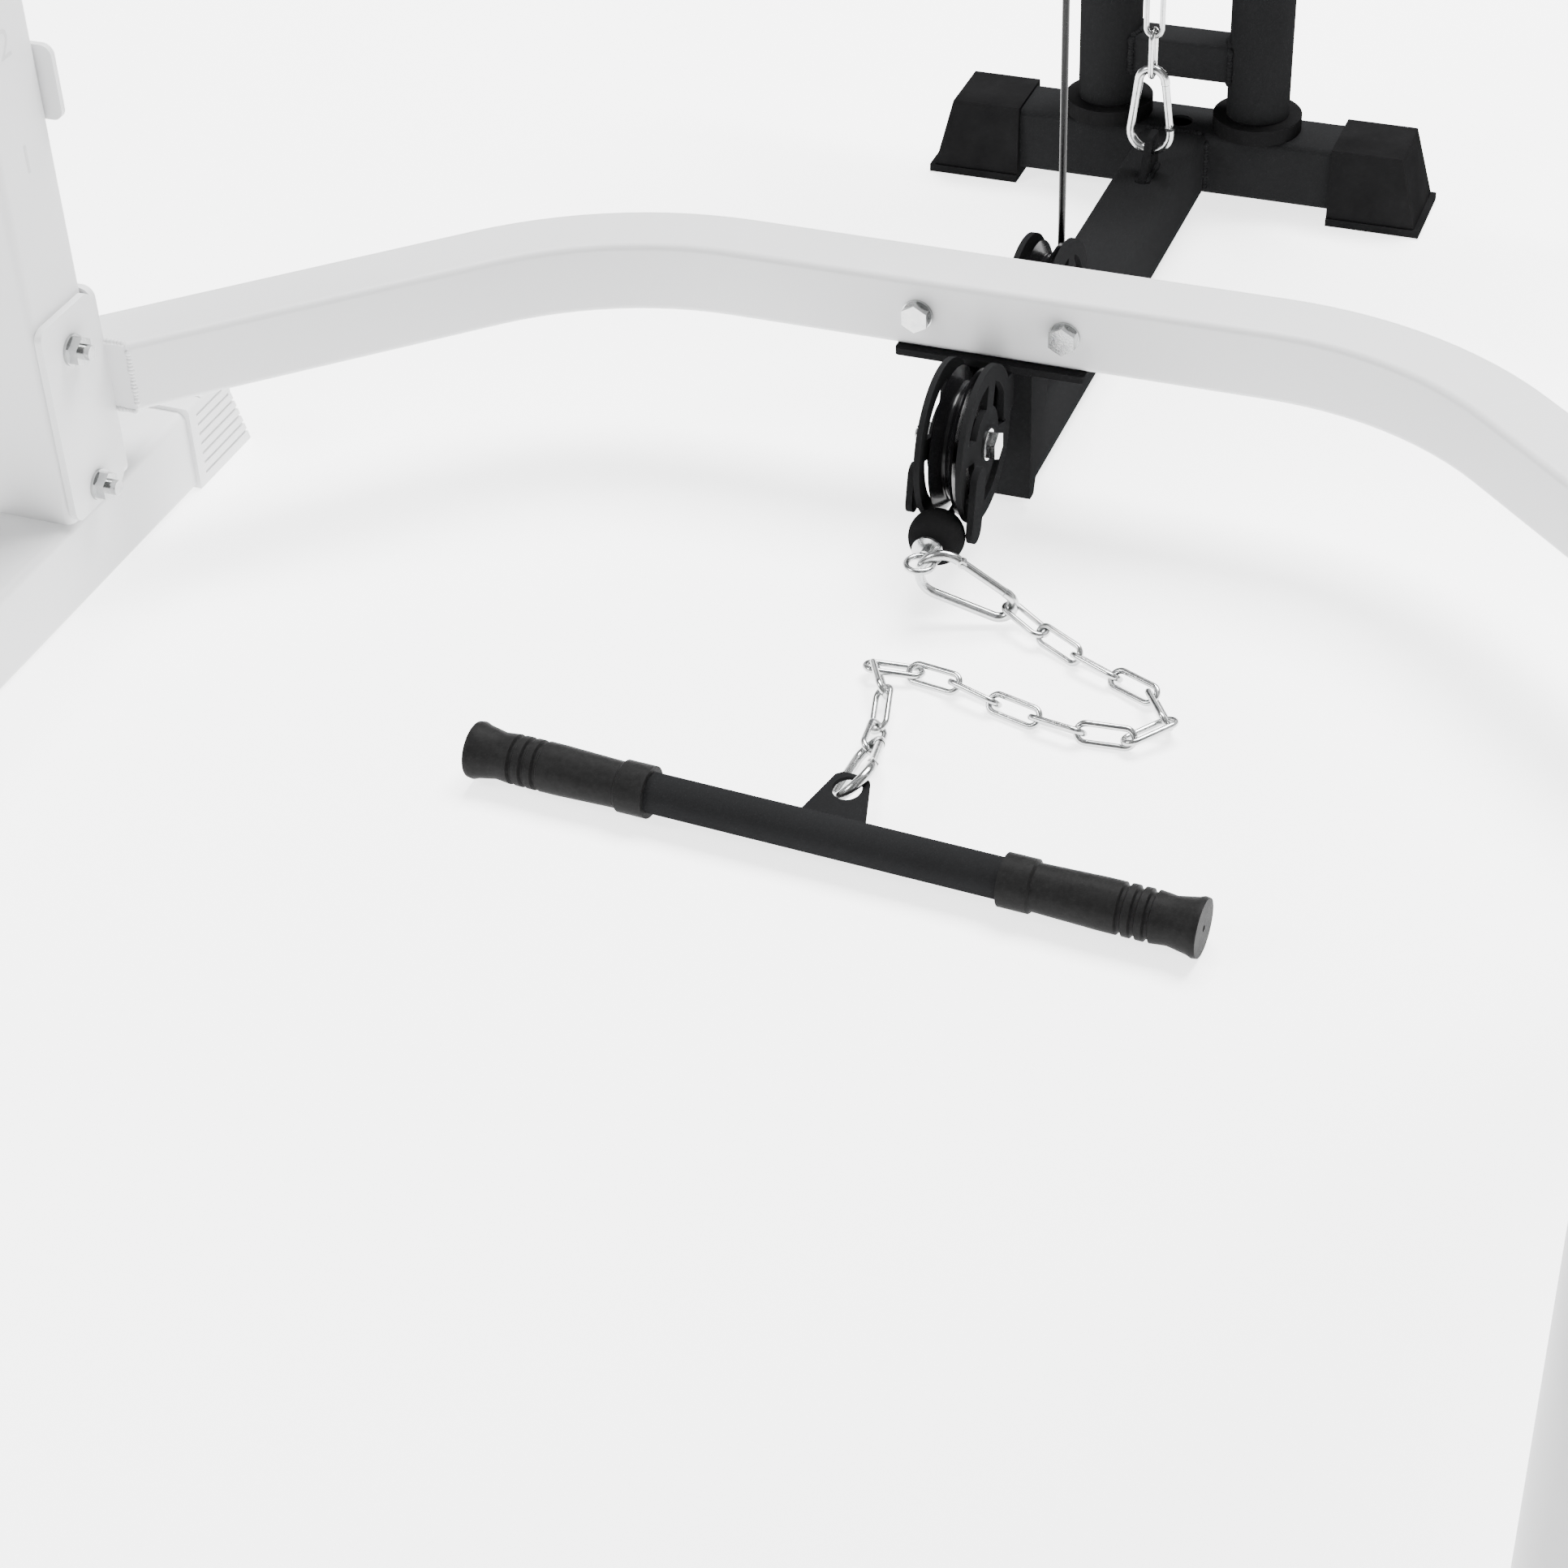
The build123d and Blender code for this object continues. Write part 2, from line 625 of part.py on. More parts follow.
with BuildPart() as tower_base_tube:
    add(square_tube((0, base_front_y, base_bottom_z + half_bar), (0, 1, 0), foot_front_y - base_front_y,
                    bar_size, bar_wall, bar_corner))
    add(block((-slot_half_width, rear_low_y - slot_half_length, base_top_z - 6.0),
              (slot_half_width, rear_low_y + slot_half_length, base_top_z + 5.0)), mode=Mode.SUBTRACT)
    with BuildSketch(Plane.YZ.offset(-eye_thickness / 2)):
        with BuildLine():
            Polyline((eye_y - 22.0, base_top_z - 1.0), (eye_y + 16.0, base_top_z - 1.0),
                     (eye_y + 14.0, base_top_z + 28.0), (eye_y - 6.0, base_top_z + 28.0), close=True)
        make_face()
        with Locations((eye_y, eye_hole_z)):
            Circle(eye_hole_r, mode=Mode.SUBTRACT)
    extrude(amount=eye_thickness)
    for side in (-1, 1):
        add(rear_cheek(side))
export(tower_base_tube.part, "tower_base_tube")

front_plate_y = base_front_y - 4.0
seat_top_z = crossbar_z - half_bar
seat_thickness = 5.0
seat_bottom_z = seat_top_z - seat_thickness
crossbar_back_y = crossbar_y + half_bar
cheek_thickness = 3.0
finger_inner_x = 19.3
finger_thickness = 4.5

with BuildPart() as tower_mount_bracket:
    seat_middle = (crossbar_y - half_bar - 5.0 + crossbar_back_y + 5.0) / 2
    add(plate(Plane.XY.offset(seat_bottom_z).move(Location((0, seat_middle, 0))), 130.0,
              bar_size + 10.0, seat_thickness, 3.0))
    rear_height = 41.0
    add(plate(Plane(origin=(0, crossbar_back_y, seat_top_z + rear_height / 2 - 2.0), x_dir=(1, 0, 0),
                    z_dir=(0, 1, 0)), 124.0, rear_height + 4.0, 5.0, 6.0,
              [(-50.0, -(crossbar_z - seat_top_z - rear_height / 2 + 2.0)),
               (50.0, -(crossbar_z - seat_top_z - rear_height / 2 + 2.0))]))
    with BuildSketch(Plane(origin=(0, base_front_y, 0), x_dir=(1, 0, 0), z_dir=(0, -1, 0))):
        with Locations((0, (seat_bottom_z + base_bottom_z) / 2)):
            Rectangle(bar_size + 2 * cheek_thickness, seat_bottom_z - base_bottom_z)
        with Locations((0, row_run_z)):
            Circle(6.0, mode=Mode.SUBTRACT)
    extrude(amount=4.0)
    for side in (-1, 1):
        with BuildSketch(Plane.YZ.offset(side * half_bar + (0 if side > 0 else -cheek_thickness))):
            with BuildLine():
                Polyline((base_front_y - 1.0, base_bottom_z), (base_front_y + 4.0, base_bottom_z),
                         (base_front_y + 38.0, seat_bottom_z - 18.0), (base_front_y + 38.0, seat_bottom_z),
                         (base_front_y - 1.0, seat_bottom_z), close=True)
            make_face()
        extrude(amount=cheek_thickness)
        inner_face_x = side * disc_gap / 2
        add(side_disc(inner_face_x, front_low_y, low_axle_z))
        tab_low = min(inner_face_x, inner_face_x + side * disc_thickness)
        add(block((tab_low, front_low_y + window_outer_r - 4.0, low_axle_z - 4.0),
                  (tab_low + disc_thickness, front_plate_y, seat_bottom_z)))
        finger_plane = Plane(origin=(side * finger_inner_x, front_low_y, low_axle_z), x_dir=(0, side, 0),
                             z_dir=(side, 0, 0))
        with BuildSketch(finger_plane):
            if side > 0:
                with Locations((-38.5, -22.0)):
                    SlotCenterToCenter(31.0, 20.0, rotation=74.0)
            else:
                with Locations((36.0, -18.0)):
                    SlotCenterToCenter(18.0, 15.0, rotation=106.0)
        extrude(amount=finger_thickness)
        pad_low = min(side * (disc_gap / 2 + disc_thickness - 1.0), side * finger_inner_x)
        pad_high = max(side * (disc_gap / 2 + disc_thickness - 1.0), side * finger_inner_x)
        add(block((pad_low, front_low_y - 43.0, low_axle_z - 29.0),
                  (pad_high, front_low_y - 33.0, low_axle_z - 18.0)))
export(tower_mount_bracket.part, "tower_mount_bracket")

# ---------------------------------------------------------------- guide posts, bumpers and carriage
head_plate_bottom = beam_bottom_z - head_plate_thickness
with BuildPart() as guide_posts:
    for side in (-1, 1):
        add(rod((side * post_half_gap, foot_y, base_top_z), (0, 0, 1), head_plate_bottom - base_top_z,
                guide_r, guide_r - 2.0))
export(guide_posts.part, "guide_posts")

with BuildPart() as post_bumpers:
    for side in (-1, 1):
        add(rod((side * post_half_gap, foot_y, base_top_z), (0, 0, 1), bumper_height, bumper_r,
                guide_r + 0.1))
export(post_bumpers.part, "post_bumpers")

carriage_bottom = base_top_z + bumper_height + 0.3
carriage_top = carriage_bottom + carriage_height
cross_size = 30.0
cross_low_z = 112.0
cross_high_z = carriage_top - 25.0
horn_z = carriage_top - 80.0
horn_r = 15.0
horn_length = 250.0
horn_stop_r = 42.0
bush_r = sleeve_r - sleeve_wall
bush_height = 40.0
lat_eye_z = carriage_top + 12.0

with BuildPart() as weight_carriage:
    for side in (-1, 1):
        add(rod((side * post_half_gap, foot_y, carriage_bottom), (0, 0, 1), carriage_height, sleeve_r))
        horn_start = post_half_gap + sleeve_r - 4.0
        add(rod((side * horn_start, foot_y, horn_z), (side, 0, 0), 12.0, horn_stop_r))
        add(rod((side * horn_start, foot_y, horn_z), (side, 0, 0), horn_length + 12.0, horn_r))
    for z in (cross_low_z, cross_high_z):
        add(square_tube((-post_half_gap, foot_y, z), (1, 0, 0), 2 * post_half_gap, cross_size, 2.0, 3.0))
    for side in (-1, 1):
        add(rod((side * post_half_gap, foot_y, carriage_bottom - 1.0), (0, 0, 1), carriage_height + 2.0,
                bush_r), mode=Mode.SUBTRACT)
    with BuildSketch(Plane.XZ.offset(-foot_y - 2.5)):
        with Locations((0, lat_eye_z - 7.0)):
            RectangleRounded(26.0, 44.0, 8.0)
        with Locations((0, lat_eye_z + 4.0)):
            Circle(eye_hole_r, mode=Mode.SUBTRACT)
    extrude(amount=5.0)
export(weight_carriage.part, "weight_carriage")

with BuildPart() as carriage_bushes:
    for side in (-1, 1):
        for z in (carriage_bottom, carriage_top - bush_height):
            add(rod((side * post_half_gap, foot_y, z), (0, 0, 1), bush_height, bush_r,
                    guide_r + running_gap))
export(carriage_bushes.part, "carriage_bushes")

# ---------------------------------------------------------------- top beam with its pulley ears
ear_thickness = 4.0
ear_r = 26.0


def pulley_ears(centre_y, centre_z, mount_z):
    """Two cheek plates that hold an axle, from a mounting face to past the axle."""
    with BuildPart() as ears:
        for side in (-1, 1):
            start = side * disc_gap / 2 if side > 0 else side * disc_gap / 2 - ear_thickness
            with BuildSketch(Plane.YZ.offset(start)):
                with Locations((centre_y, centre_z)):
                    Circle(ear_r)
                low, high = sorted((centre_z, mount_z))
                with Locations((centre_y, (low + high) / 2)):
                    Rectangle(2 * ear_r - 8.0, high - low)
                with Locations((centre_y, centre_z)):
                    Circle(bolt_hole_r, mode=Mode.SUBTRACT)
            extrude(amount=ear_thickness)
    return ears.part


beam_rear_y = foot_y - 24.0
with BuildPart() as top_beam:
    add(square_tube((0, beam_front_y, beam_z), (0, 1, 0), beam_rear_y - beam_front_y,
                    bar_size, bar_wall, bar_corner))
    add(block((-95.0, foot_y - 47.0, head_plate_bottom), (95.0, foot_y + 33.0, beam_bottom_z)))
    with BuildSketch(Plane.XY.offset(head_plate_bottom - 1.0)):
        with Locations((0, foot_y)):
            Circle(8.0)
    extrude(amount=head_plate_thickness + 2.0, mode=Mode.SUBTRACT)
    add(pulley_ears(lat_front_y + 0.0, lat_axle_z, beam_top_z))
    add(pulley_ears(lat_rear_y, lat_axle_z, beam_top_z))
    add(pulley_ears(row_top_front_y, row_top_z, beam_bottom_z))
    add(pulley_ears(row_top_rear_y, row_top_z, beam_bottom_z))
    saddle_low = rail_z + half_post
    add(block((-half_bar, rear_upright_y - 25.0, saddle_low), (half_bar, rear_upright_y + 25.0, beam_bottom_z)))
    with BuildSketch(Plane.XY.offset(saddle_low)):
        with Locations((0, rear_upright_y)):
            RectangleRounded(150.0, 50.0, 6.0)
        with Locations((-saddle_half_pitch, rear_upright_y), (saddle_half_pitch, rear_upright_y)):
            Circle(bolt_hole_r, mode=Mode.SUBTRACT)
    extrude(amount=6.0)
export(top_beam.part, "top_beam")

# ---------------------------------------------------------------- wheels, bushings, axles
groove_floor_r = cable_turn_r - cable_d / 2 - cable_gap
hub_half = disc_gap / 2 - 0.3
half_wheel = wheel_width / 2

with BuildPart() as wheel:
    with BuildSketch(Plane.XZ):
        with BuildLine():
            bore = bushing_r + running_gap
            Polyline((bore, -hub_half), (wheel_hub_r, -hub_half), (wheel_hub_r, -4.5), (36.0, -4.5),
                     (36.0, -half_wheel), (wheel_r - 1.5, -half_wheel), (wheel_r, -half_wheel + 1.2))
            Line((wheel_r, -half_wheel + 1.2), (groove_floor_r + 1.4, -2.2))
            ThreePointArc((groove_floor_r + 1.4, -2.2), (groove_floor_r, 0), (groove_floor_r + 1.4, 2.2))
            Line((groove_floor_r + 1.4, 2.2), (wheel_r, half_wheel - 1.2))
            Polyline((wheel_r, half_wheel - 1.2), (wheel_r - 1.5, half_wheel), (36.0, half_wheel),
                     (36.0, 4.5), (wheel_hub_r, 4.5), (wheel_hub_r, hub_half), (bore, hub_half),
                     (bore, -hub_half))
        make_face()
    revolve(axis=Axis.Z)

axles = {
    "front_low_pulley": (front_low_y, low_axle_z, disc_gap / 2 + disc_thickness),
    "rear_low_pulley": (rear_low_y, low_axle_z, disc_gap / 2 + disc_thickness),
    "lat_front_pulley": (lat_front_y, lat_axle_z, disc_gap / 2 + ear_thickness),
    "lat_rear_pulley": (lat_rear_y, lat_axle_z, disc_gap / 2 + ear_thickness),
    "row_top_front_pulley": (row_top_front_y, row_top_z, disc_gap / 2 + ear_thickness),
    "row_top_rear_pulley": (row_top_rear_y, row_top_z, disc_gap / 2 + ear_thickness),
}

for name, (y, z, _) in axles.items():
    with BuildPart() as pulley:
        with Locations(Plane(origin=(0, y, z), z_dir=(1, 0, 0)).location):
            add(wheel.part)
    export(pulley.part, name)

with BuildPart() as pulley_bushings:
    for y, z, _ in axles.values():
        add(rod((-disc_gap / 2, y, z), (1, 0, 0), disc_gap, bushing_r, bolt_r + running_gap))
export(pulley_bushings.part, "pulley_bushings")

with BuildPart() as pulley_bolts:
    for y, z, outer in axles.values():
        add(hex_bolt((outer, y, z), (-1, 0, 0), 2 * outer + nut_height + bolt_tail))
export(pulley_bolts.part, "pulley_bolts")

with BuildPart() as pulley_nuts:
    for y, z, outer in axles.values():
        add(flange_nut((-outer, y, z), (-1, 0, 0)))
export(pulley_nuts.part, "pulley_nuts")

# ---------------------------------------------------------------- frame bolts and nuts
foot_grip_front = foot_plate_thickness + post_size
foot_grip_rear = foot_grip_front + bracket_thickness
joints = []
for side in (-1, 1):
    start_x = side * (outer_x + foot_plate_thickness)
    for z in foot_bolt_z:
        joints.append(((start_x, front_upright_y, z), (-side, 0, 0), foot_grip_front))
        joints.append(((start_x, rear_upright_y, z), (-side, 0, 0), foot_grip_rear))
    for offset in (-crossbar_bolt_offset, crossbar_bolt_offset):
        for y in (front_upright_y, rear_upright_y):
            joints.append(((side * outer_x, y, rail_z + offset), (-side, 0, 0),
                           post_size + end_plate_thickness))
    for offset in (-rail_bolt_offset, rail_bolt_offset):
        grip = post_size + end_plate_thickness
        joints.append(((side * post_x, front_upright_y - half_post, rail_z + offset), (0, 1, 0), grip))
        joints.append(((side * post_x, rear_face_y, rail_z + offset), (0, -1, 0), grip))
    joints.append(((side * 50.0, crossbar_y - half_bar, crossbar_z), (0, 1, 0), bar_size + 5.0))
    joints.append(((side * saddle_half_pitch, rear_upright_y, rail_z + half_post + 6.0), (0, 0, -1),
                   post_size + 6.0))

with BuildPart() as frame_bolts:
    for seat, direction, grip in joints:
        add(hex_bolt(seat, direction, grip + nut_height + bolt_tail))
export(frame_bolts.part, "frame_bolts")

with BuildPart() as frame_nuts:
    for seat, direction, grip in joints:
        nut_seat = [a + grip * b for a, b in zip(seat, direction)]
        add(flange_nut(nut_seat, direction))
export(frame_nuts.part, "frame_nuts")

# ---------------------------------------------------------------- chain and snap hook shapes
link_end_r = (link_width - 2 * link_wire_r) / 2
link_reach = link_length - 2 * link_wire_r  # centre line, end to end
link_straight = link_reach - 2 * link_end_r

with BuildPart() as link:
    with BuildLine() as link_path:
        Line((0, link_end_r), (link_straight / 2, link_end_r))
        RadiusArc((link_straight / 2, link_end_r), (link_straight / 2, -link_end_r), link_end_r)
        Line((link_straight / 2, -link_end_r), (-link_straight / 2, -link_end_r))
        RadiusArc((-link_straight / 2, -link_end_r), (-link_straight / 2, link_end_r), link_end_r)
        Line((-link_straight / 2, link_end_r), (0, link_end_r))
    with BuildSketch(Plane(origin=(0, link_end_r, 0), z_dir=(1, 0, 0))):
        Circle(link_wire_r)
    sweep(path=link_path.line)

taper = asin((hook_wide_r - hook_narrow_r) / (hook_reach - hook_wide_r - hook_narrow_r))
wide_y = -hook_reach / 2 + hook_wide_r
narrow_y = hook_reach / 2 - hook_narrow_r
wide_tangent = (hook_wide_r * cos(taper), wide_y + hook_wide_r * sin(taper))
narrow_tangent = (hook_narrow_r * cos(taper), narrow_y + hook_narrow_r * sin(taper))
side_length = hypot(wide_tangent[0] - narrow_tangent[0], wide_tangent[1] - narrow_tangent[1])
gate_r = 2.9
gate_barrel = 5.0  # round knuckle of the gate
gate_rivet_r = 1.25


def along_side(distance):
    """Point on the gate side of a snap hook, from its wide end."""
    share = distance / side_length
    return (wide_tangent[0] + share * (narrow_tangent[0] - wide_tangent[0]),
            wide_tangent[1] + share * (narrow_tangent[1] - wide_tangent[1]))


gate_pivot = along_side(4.0)
gate_tip = along_side(side_length - 3.0)

with BuildPart() as hook_body:
    with BuildLine() as hook_path:
        Line(along_side(side_length - 2.5), narrow_tangent)
        ThreePointArc(narrow_tangent, (0, narrow_y + hook_narrow_r), (-narrow_tangent[0], narrow_tangent[1]))
        Line((-narrow_tangent[0], narrow_tangent[1]), (-wide_tangent[0], wide_tangent[1]))
        ThreePointArc((-wide_tangent[0], wide_tangent[1]), (0, wide_y - hook_wide_r), wide_tangent)
        Line(wide_tangent, along_side(4.0 - gate_r - 0.3))
    with BuildSketch(Plane(origin=hook_path.line @ 0, z_dir=hook_path.line % 0)):
        Circle(hook_wire_r)
    sweep(path=hook_path.line)

with BuildPart() as hook_gate:
    rise = (gate_tip[0] - gate_pivot[0], gate_tip[1] - gate_pivot[1], 0)
    with BuildSketch(Plane(origin=(gate_pivot[0], gate_pivot[1], 0), z_dir=rise)):
        Circle(gate_r)
    extrude(amount=hypot(rise[0], rise[1]))
    with Locations((gate_pivot[0], gate_pivot[1], 0)):
        Cylinder(gate_r, gate_barrel)
        Cylinder(gate_rivet_r, 2 * gate_barrel, mode=Mode.SUBTRACT)


def hook_plane(wide_end, reach, across):
    """Plane of a snap hook whose wide end's centre line starts at a point and runs along reach."""
    along = Vector(*reach).normalized()
    side = Vector(*across)
    side = (side - along * side.dot(along)).normalized()
    middle = Vector(*wide_end) + along * (hook_reach / 2)
    return Plane(origin=middle, x_dir=side, z_dir=side.cross(along))


def chain_planes(points, turns):
    """Planes of the links between the crossing points, each turned about its length."""
    planes = []
    for a, b, turn in zip(points[:-1], points[1:], turns):
        start, end = Vector(*a), Vector(*b)
        along = (end - start).normalized()
        level = Vector(0, 0, 1).cross(along)
        if level.length < 0.01:
            level = Vector(1, 0, 0)
        level = level.normalized()
        upright = along.cross(level)
        tilt = radians(turn)
        side = level * cos(tilt) + upright * sin(tilt)
        planes.append(Plane(origin=(start + end) * 0.5, x_dir=along, z_dir=along.cross(side)))
    return planes


def ring_with_shank(centre, toward, normal, shank):
    """Closed eye on a ferrule; the ferrule runs from the ring away to the cable."""
    axis = Vector(*toward).normalized()
    with BuildPart() as eye:
        with Locations(Plane(origin=centre, z_dir=normal).location):
            Torus(ring_r, ring_wire_r)
        start = Vector(*centre) + axis * ring_r
        add(rod(start, axis, shank, 4.0))
    return eye.part


# ---------------------------------------------------------------- row cable, ball stop and hooks
ball_y = front_low_y - sqrt((disc_r + 15.2) ** 2 - cable_turn_r ** 2)
ball_front_y = ball_y - ball_r + 1.5
washer_front_y = ball_front_y - washer_thickness

with BuildPart() as row_ball_stop:
    with Locations((0, ball_y, row_run_z)):
        Sphere(ball_r)
    add(block((-ball_r, ball_front_y - ball_r, row_run_z - ball_r),
              (ball_r, ball_front_y, row_run_z + ball_r)), mode=Mode.SUBTRACT)
    add(rod((0, ball_front_y - 1.0, row_run_z), (0, 1, 0), 2 * ball_r + 2.0, cable_d / 2 + 0.1),
        mode=Mode.SUBTRACT)
export(row_ball_stop.part, "row_ball_stop")

ring_centre = (0, washer_front_y - 5.0 - ring_r, row_run_z)
anchor_chain_links = 12
anchor_wide_z = eye_hole_z + eye_hole_r - hook_wire_r - 0.3
anchor_narrow_z = anchor_wide_z + hook_reach
first_cross_z = anchor_narrow_z - hook_grip + (link_reach - pitch) / 2
anchor_points = [(0, row_fall_y, first_cross_z + index * pitch) for index in range(anchor_chain_links + 1)]
anchor_turns = [90.0 * (index + 1) for index in range(anchor_chain_links)]
anchor_top_end = anchor_points[-1][2] + (link_reach - pitch) / 2
anchor_ring_z = anchor_top_end - link_wire_r - ring_wire_r - 0.3 + ring_r
anchor_shank = 16.0
anchor_cable_end = anchor_ring_z + ring_r + anchor_shank

with BuildPart() as row_cable:
    with BuildLine(Plane.YZ) as row_route:
        FilletPolyline((ball_front_y, row_run_z), (row_rise_y, row_run_z),
                       (row_rise_y, row_top_z + cable_turn_r), (row_fall_y, row_top_z + cable_turn_r),
                       (row_fall_y, anchor_cable_end), radius=cable_turn_r)
    with BuildSketch(Plane(origin=(0, ball_front_y, row_run_z), z_dir=(0, 1, 0))):
        Circle(cable_d / 2)
    sweep(path=row_route.line)
export(row_cable.part, "row_cable")

row_hook_reach = (54.0, 11.0, -31.0)
row_hook_start = (1.6, ring_centre[1] + 0.4, row_run_z)
row_hook_plane = hook_plane(row_hook_start, row_hook_reach, (0, 0, 1))
anchor_plane = hook_plane((0, row_fall_y, anchor_wide_z), (0, 0, 1), (1, 0, 0))

bar_centre = Vector(26.0, 100.0, 18.2)
bar_angle = -2.9
bar_along = Vector(cos(radians(bar_angle)), sin(radians(bar_angle)), 0)
lug_tilt = radians(12.0)
lug_level = Vector(0, 0, 1).cross(bar_along)
lug_out = lug_level * cos(lug_tilt) + Vector(0, 0, 1) * sin(lug_tilt)
lug_hole_reach = 36.0
lug_top = 11.5  # lug material past the middle of its hole
lug_hole_r = 8.0
row_lug_hole_r = 9.0  # wider, as its snap hook goes through aslant
lug_hole = bar_centre + lug_out * lug_hole_reach
bar_hook_reach = Vector(-7.0, 62.0, -13.0)
bar_hook_start = lug_hole - lug_out * 2.0
bar_hook_plane = hook_plane(tuple(bar_hook_start), tuple(bar_hook_reach), (1, 0, 1))

hook_planes = {"row": row_hook_plane, "anchor": anchor_plane, "bar": bar_hook_plane}
with BuildPart() as row_snap_hooks:
    for place in hook_planes.values():
        with Locations(place.location):
            add(hook_body.part)
export(row_snap_hooks.part, "row_snap_hooks")

for name, place in hook_planes.items():
    with BuildPart() as gate:
        with Locations(place.location):
            add(hook_gate.part)
    export(gate.part, f"{name}_hook_gate")

with BuildPart() as row_cable_eyes:
    add(rod((0, washer_front_y, row_run_z), (0, 1, 0), washer_thickness, washer_r))
    add(ring_with_shank(ring_centre, (0, 1, 0), (0, 0, 1), 5.0))
    add(ring_with_shank((0, row_fall_y, anchor_ring_z), (0, 0, 1), (1, 0, 0), anchor_shank))
export(row_cable_eyes.part, "row_cable_eyes")

# ---------------------------------------------------------------- chains
with BuildPart() as anchor_chain:
    with Locations(*[place.location for place in chain_planes(anchor_points, anchor_turns)]):
        add(link.part)
export(anchor_chain.part, "anchor_chain")

# The loose chain lies on the floor: where its links cross, and each link's turn about its length.
chain_route = [
    (55.3, 361.5, 13.2),
    (82.0, 344.6, 9.4),
    (109.4, 330.0, 7.3),
    (138.7, 317.5, 5.8),
    (165.0, 304.4, 7.1),
    (182.2, 276.9, 9.4),
    (165.7, 257.3, 7.6),
    (133.5, 254.6, 7.5),
    (103.8, 260.8, 6.3),
    (74.0, 269.0, 6.4),
    (47.4, 278.0, 7.4),
    (15.8, 284.9, 5.6),
    (-6.3, 280.4, 7.6),
    (8.8, 251.7, 11.4),
    (15.4, 223.6, 6.3),
    (20.9, 192.3, 12.3),
]
chain_turns = [348.5, 64.8, 139.5, 216.5, 302.2, 20.0, 114.6, 222.8,
               315.0, 45.0, 141.0, 191.3, 292.9, 39.9, 134.8]
with BuildPart() as row_chain:
    with Locations(*[place.location for place in chain_planes(chain_route, chain_turns)]):
        add(link.part)
export(row_chain.part, "row_chain")


# ---------------------------------------------------------------- handles
def grip_profile(inner_r):
    """Half outline of a rubber grip, from its collar at 0 to its flared outer end."""
    end = grip_length
    with BuildSketch(Plane.XZ) as outline:
        with BuildLine():
            Polyline((inner_r, 0), (grip_r + 0.6, 0), (grip_r + 0.6, 18.0), (grip_r - 1.2, 19.5),
                     (grip_r, 60.0), (grip_r, 70.0), (grip_r - 1.8, 71.0), (grip_r - 1.8, 73.0),
                     (grip_r, 74.0), (grip_r, 78.0), (grip_r - 1.8, 79.0), (grip_r - 1.8, 81.0),
                     (grip_r, 82.0), (grip_r, 86.0), (grip_r - 1.8, 87.0), (grip_r - 1.8, 89.0),
                     (grip_r, 90.0), (grip_r - 1.0, 100.0), (grip_r + 1.2, end - 6.0),
                     (grip_r + 2.4, end - 3.0), (grip_r + 2.0, end), (2.0, end), (2.0, end - 5.0),
                     (inner_r, end - 5.0), close=True)
        make_face()
    return outline.sketch


with BuildPart() as grip:
    add(grip_profile(handle_r))
    revolve(axis=Axis.Z)

handle_wall = 2.0
grip_bite = grip_length - 5.0  # length of bar inside a grip


def lug_plane(centre, along, out):
    """Plane of a handle's lug: x along the bar, y away from it."""
    return Plane(origin=centre, x_dir=along, z_dir=along.cross(out))


def handle_lug(place, hole_r):
    """Trapezoid lug with a rounded top and its hole."""
    half_thickness = 1.5
    with BuildPart() as lug:
        with BuildSketch(place.offset(-half_thickness)):
            with BuildLine():
                Polyline((-21.0, handle_r - 1.0), (21.0, handle_r - 1.0), (11.0, lug_hole_reach + lug_top - 3.0),
                         (7.0, lug_hole_reach + lug_top), (-7.0, lug_hole_reach + lug_top),
                         (-11.0, lug_hole_reach + lug_top - 3.0), close=True)
            make_face()
            with Locations((0, lug_hole_reach)):
                Circle(hole_r, mode=Mode.SUBTRACT)
        extrude(amount=2 * half_thickness)
    return lug.part


with BuildPart() as row_bar:
    tube_start = bar_centre - bar_along * (row_bar_length / 2)
    add(rod(tube_start, bar_along, row_bar_length, handle_r, handle_r - handle_wall))
    add(handle_lug(lug_plane(bar_centre, bar_along, lug_out), row_lug_hole_r))
export(row_bar.part, "row_bar")

with BuildPart() as row_bar_grips:
    for side in (-1, 1):
        collar = bar_centre + bar_along * (side * (row_bar_length / 2 - grip_bite))
        with Locations(Plane(origin=collar, z_dir=bar_along * side).location):
            add(grip.part)
export(row_bar_grips.part, "row_bar_grips")

# ---------------------------------------------------------------- lat cable, ball, hook and bar
lat_ball_z = lat_axle_z - sqrt((wheel_r + ball_r + 1.0) ** 2 - cable_turn_r ** 2)
lat_ball_base = lat_ball_z - ball_r + 1.5
lat_washer_base = lat_ball_base - washer_thickness
lat_ring_z = lat_washer_base - 5.0 - ring_r

with BuildPart() as lat_ball_stop:
    with Locations((0, lat_bar_y, lat_ball_z)):
        Sphere(ball_r)
    add(block((-ball_r, lat_bar_y - ball_r, lat_ball_base - ball_r),
              (ball_r, lat_bar_y + ball_r, lat_ball_base)), mode=Mode.SUBTRACT)
export(lat_ball_stop.part, "lat_ball_stop")

lat_hook_start_z = lat_ring_z - (ring_r - ring_wire_r - hook_wire_r - 0.3)
lat_hook_plane = hook_plane((0, lat_bar_y, lat_hook_start_z), (0, 0, -1), (0, 1, 0))
with BuildPart() as lat_snap_hook:
    with Locations(lat_hook_plane.location):
        add(hook_body.part)
    add(rod((0, lat_bar_y, lat_washer_base), (0, 0, 1), washer_thickness, washer_r))
    add(ring_with_shank((0, lat_bar_y, lat_ring_z), (0, 0, 1), (0, 1, 0), 5.0))
export(lat_snap_hook.part, "lat_snap_hook")

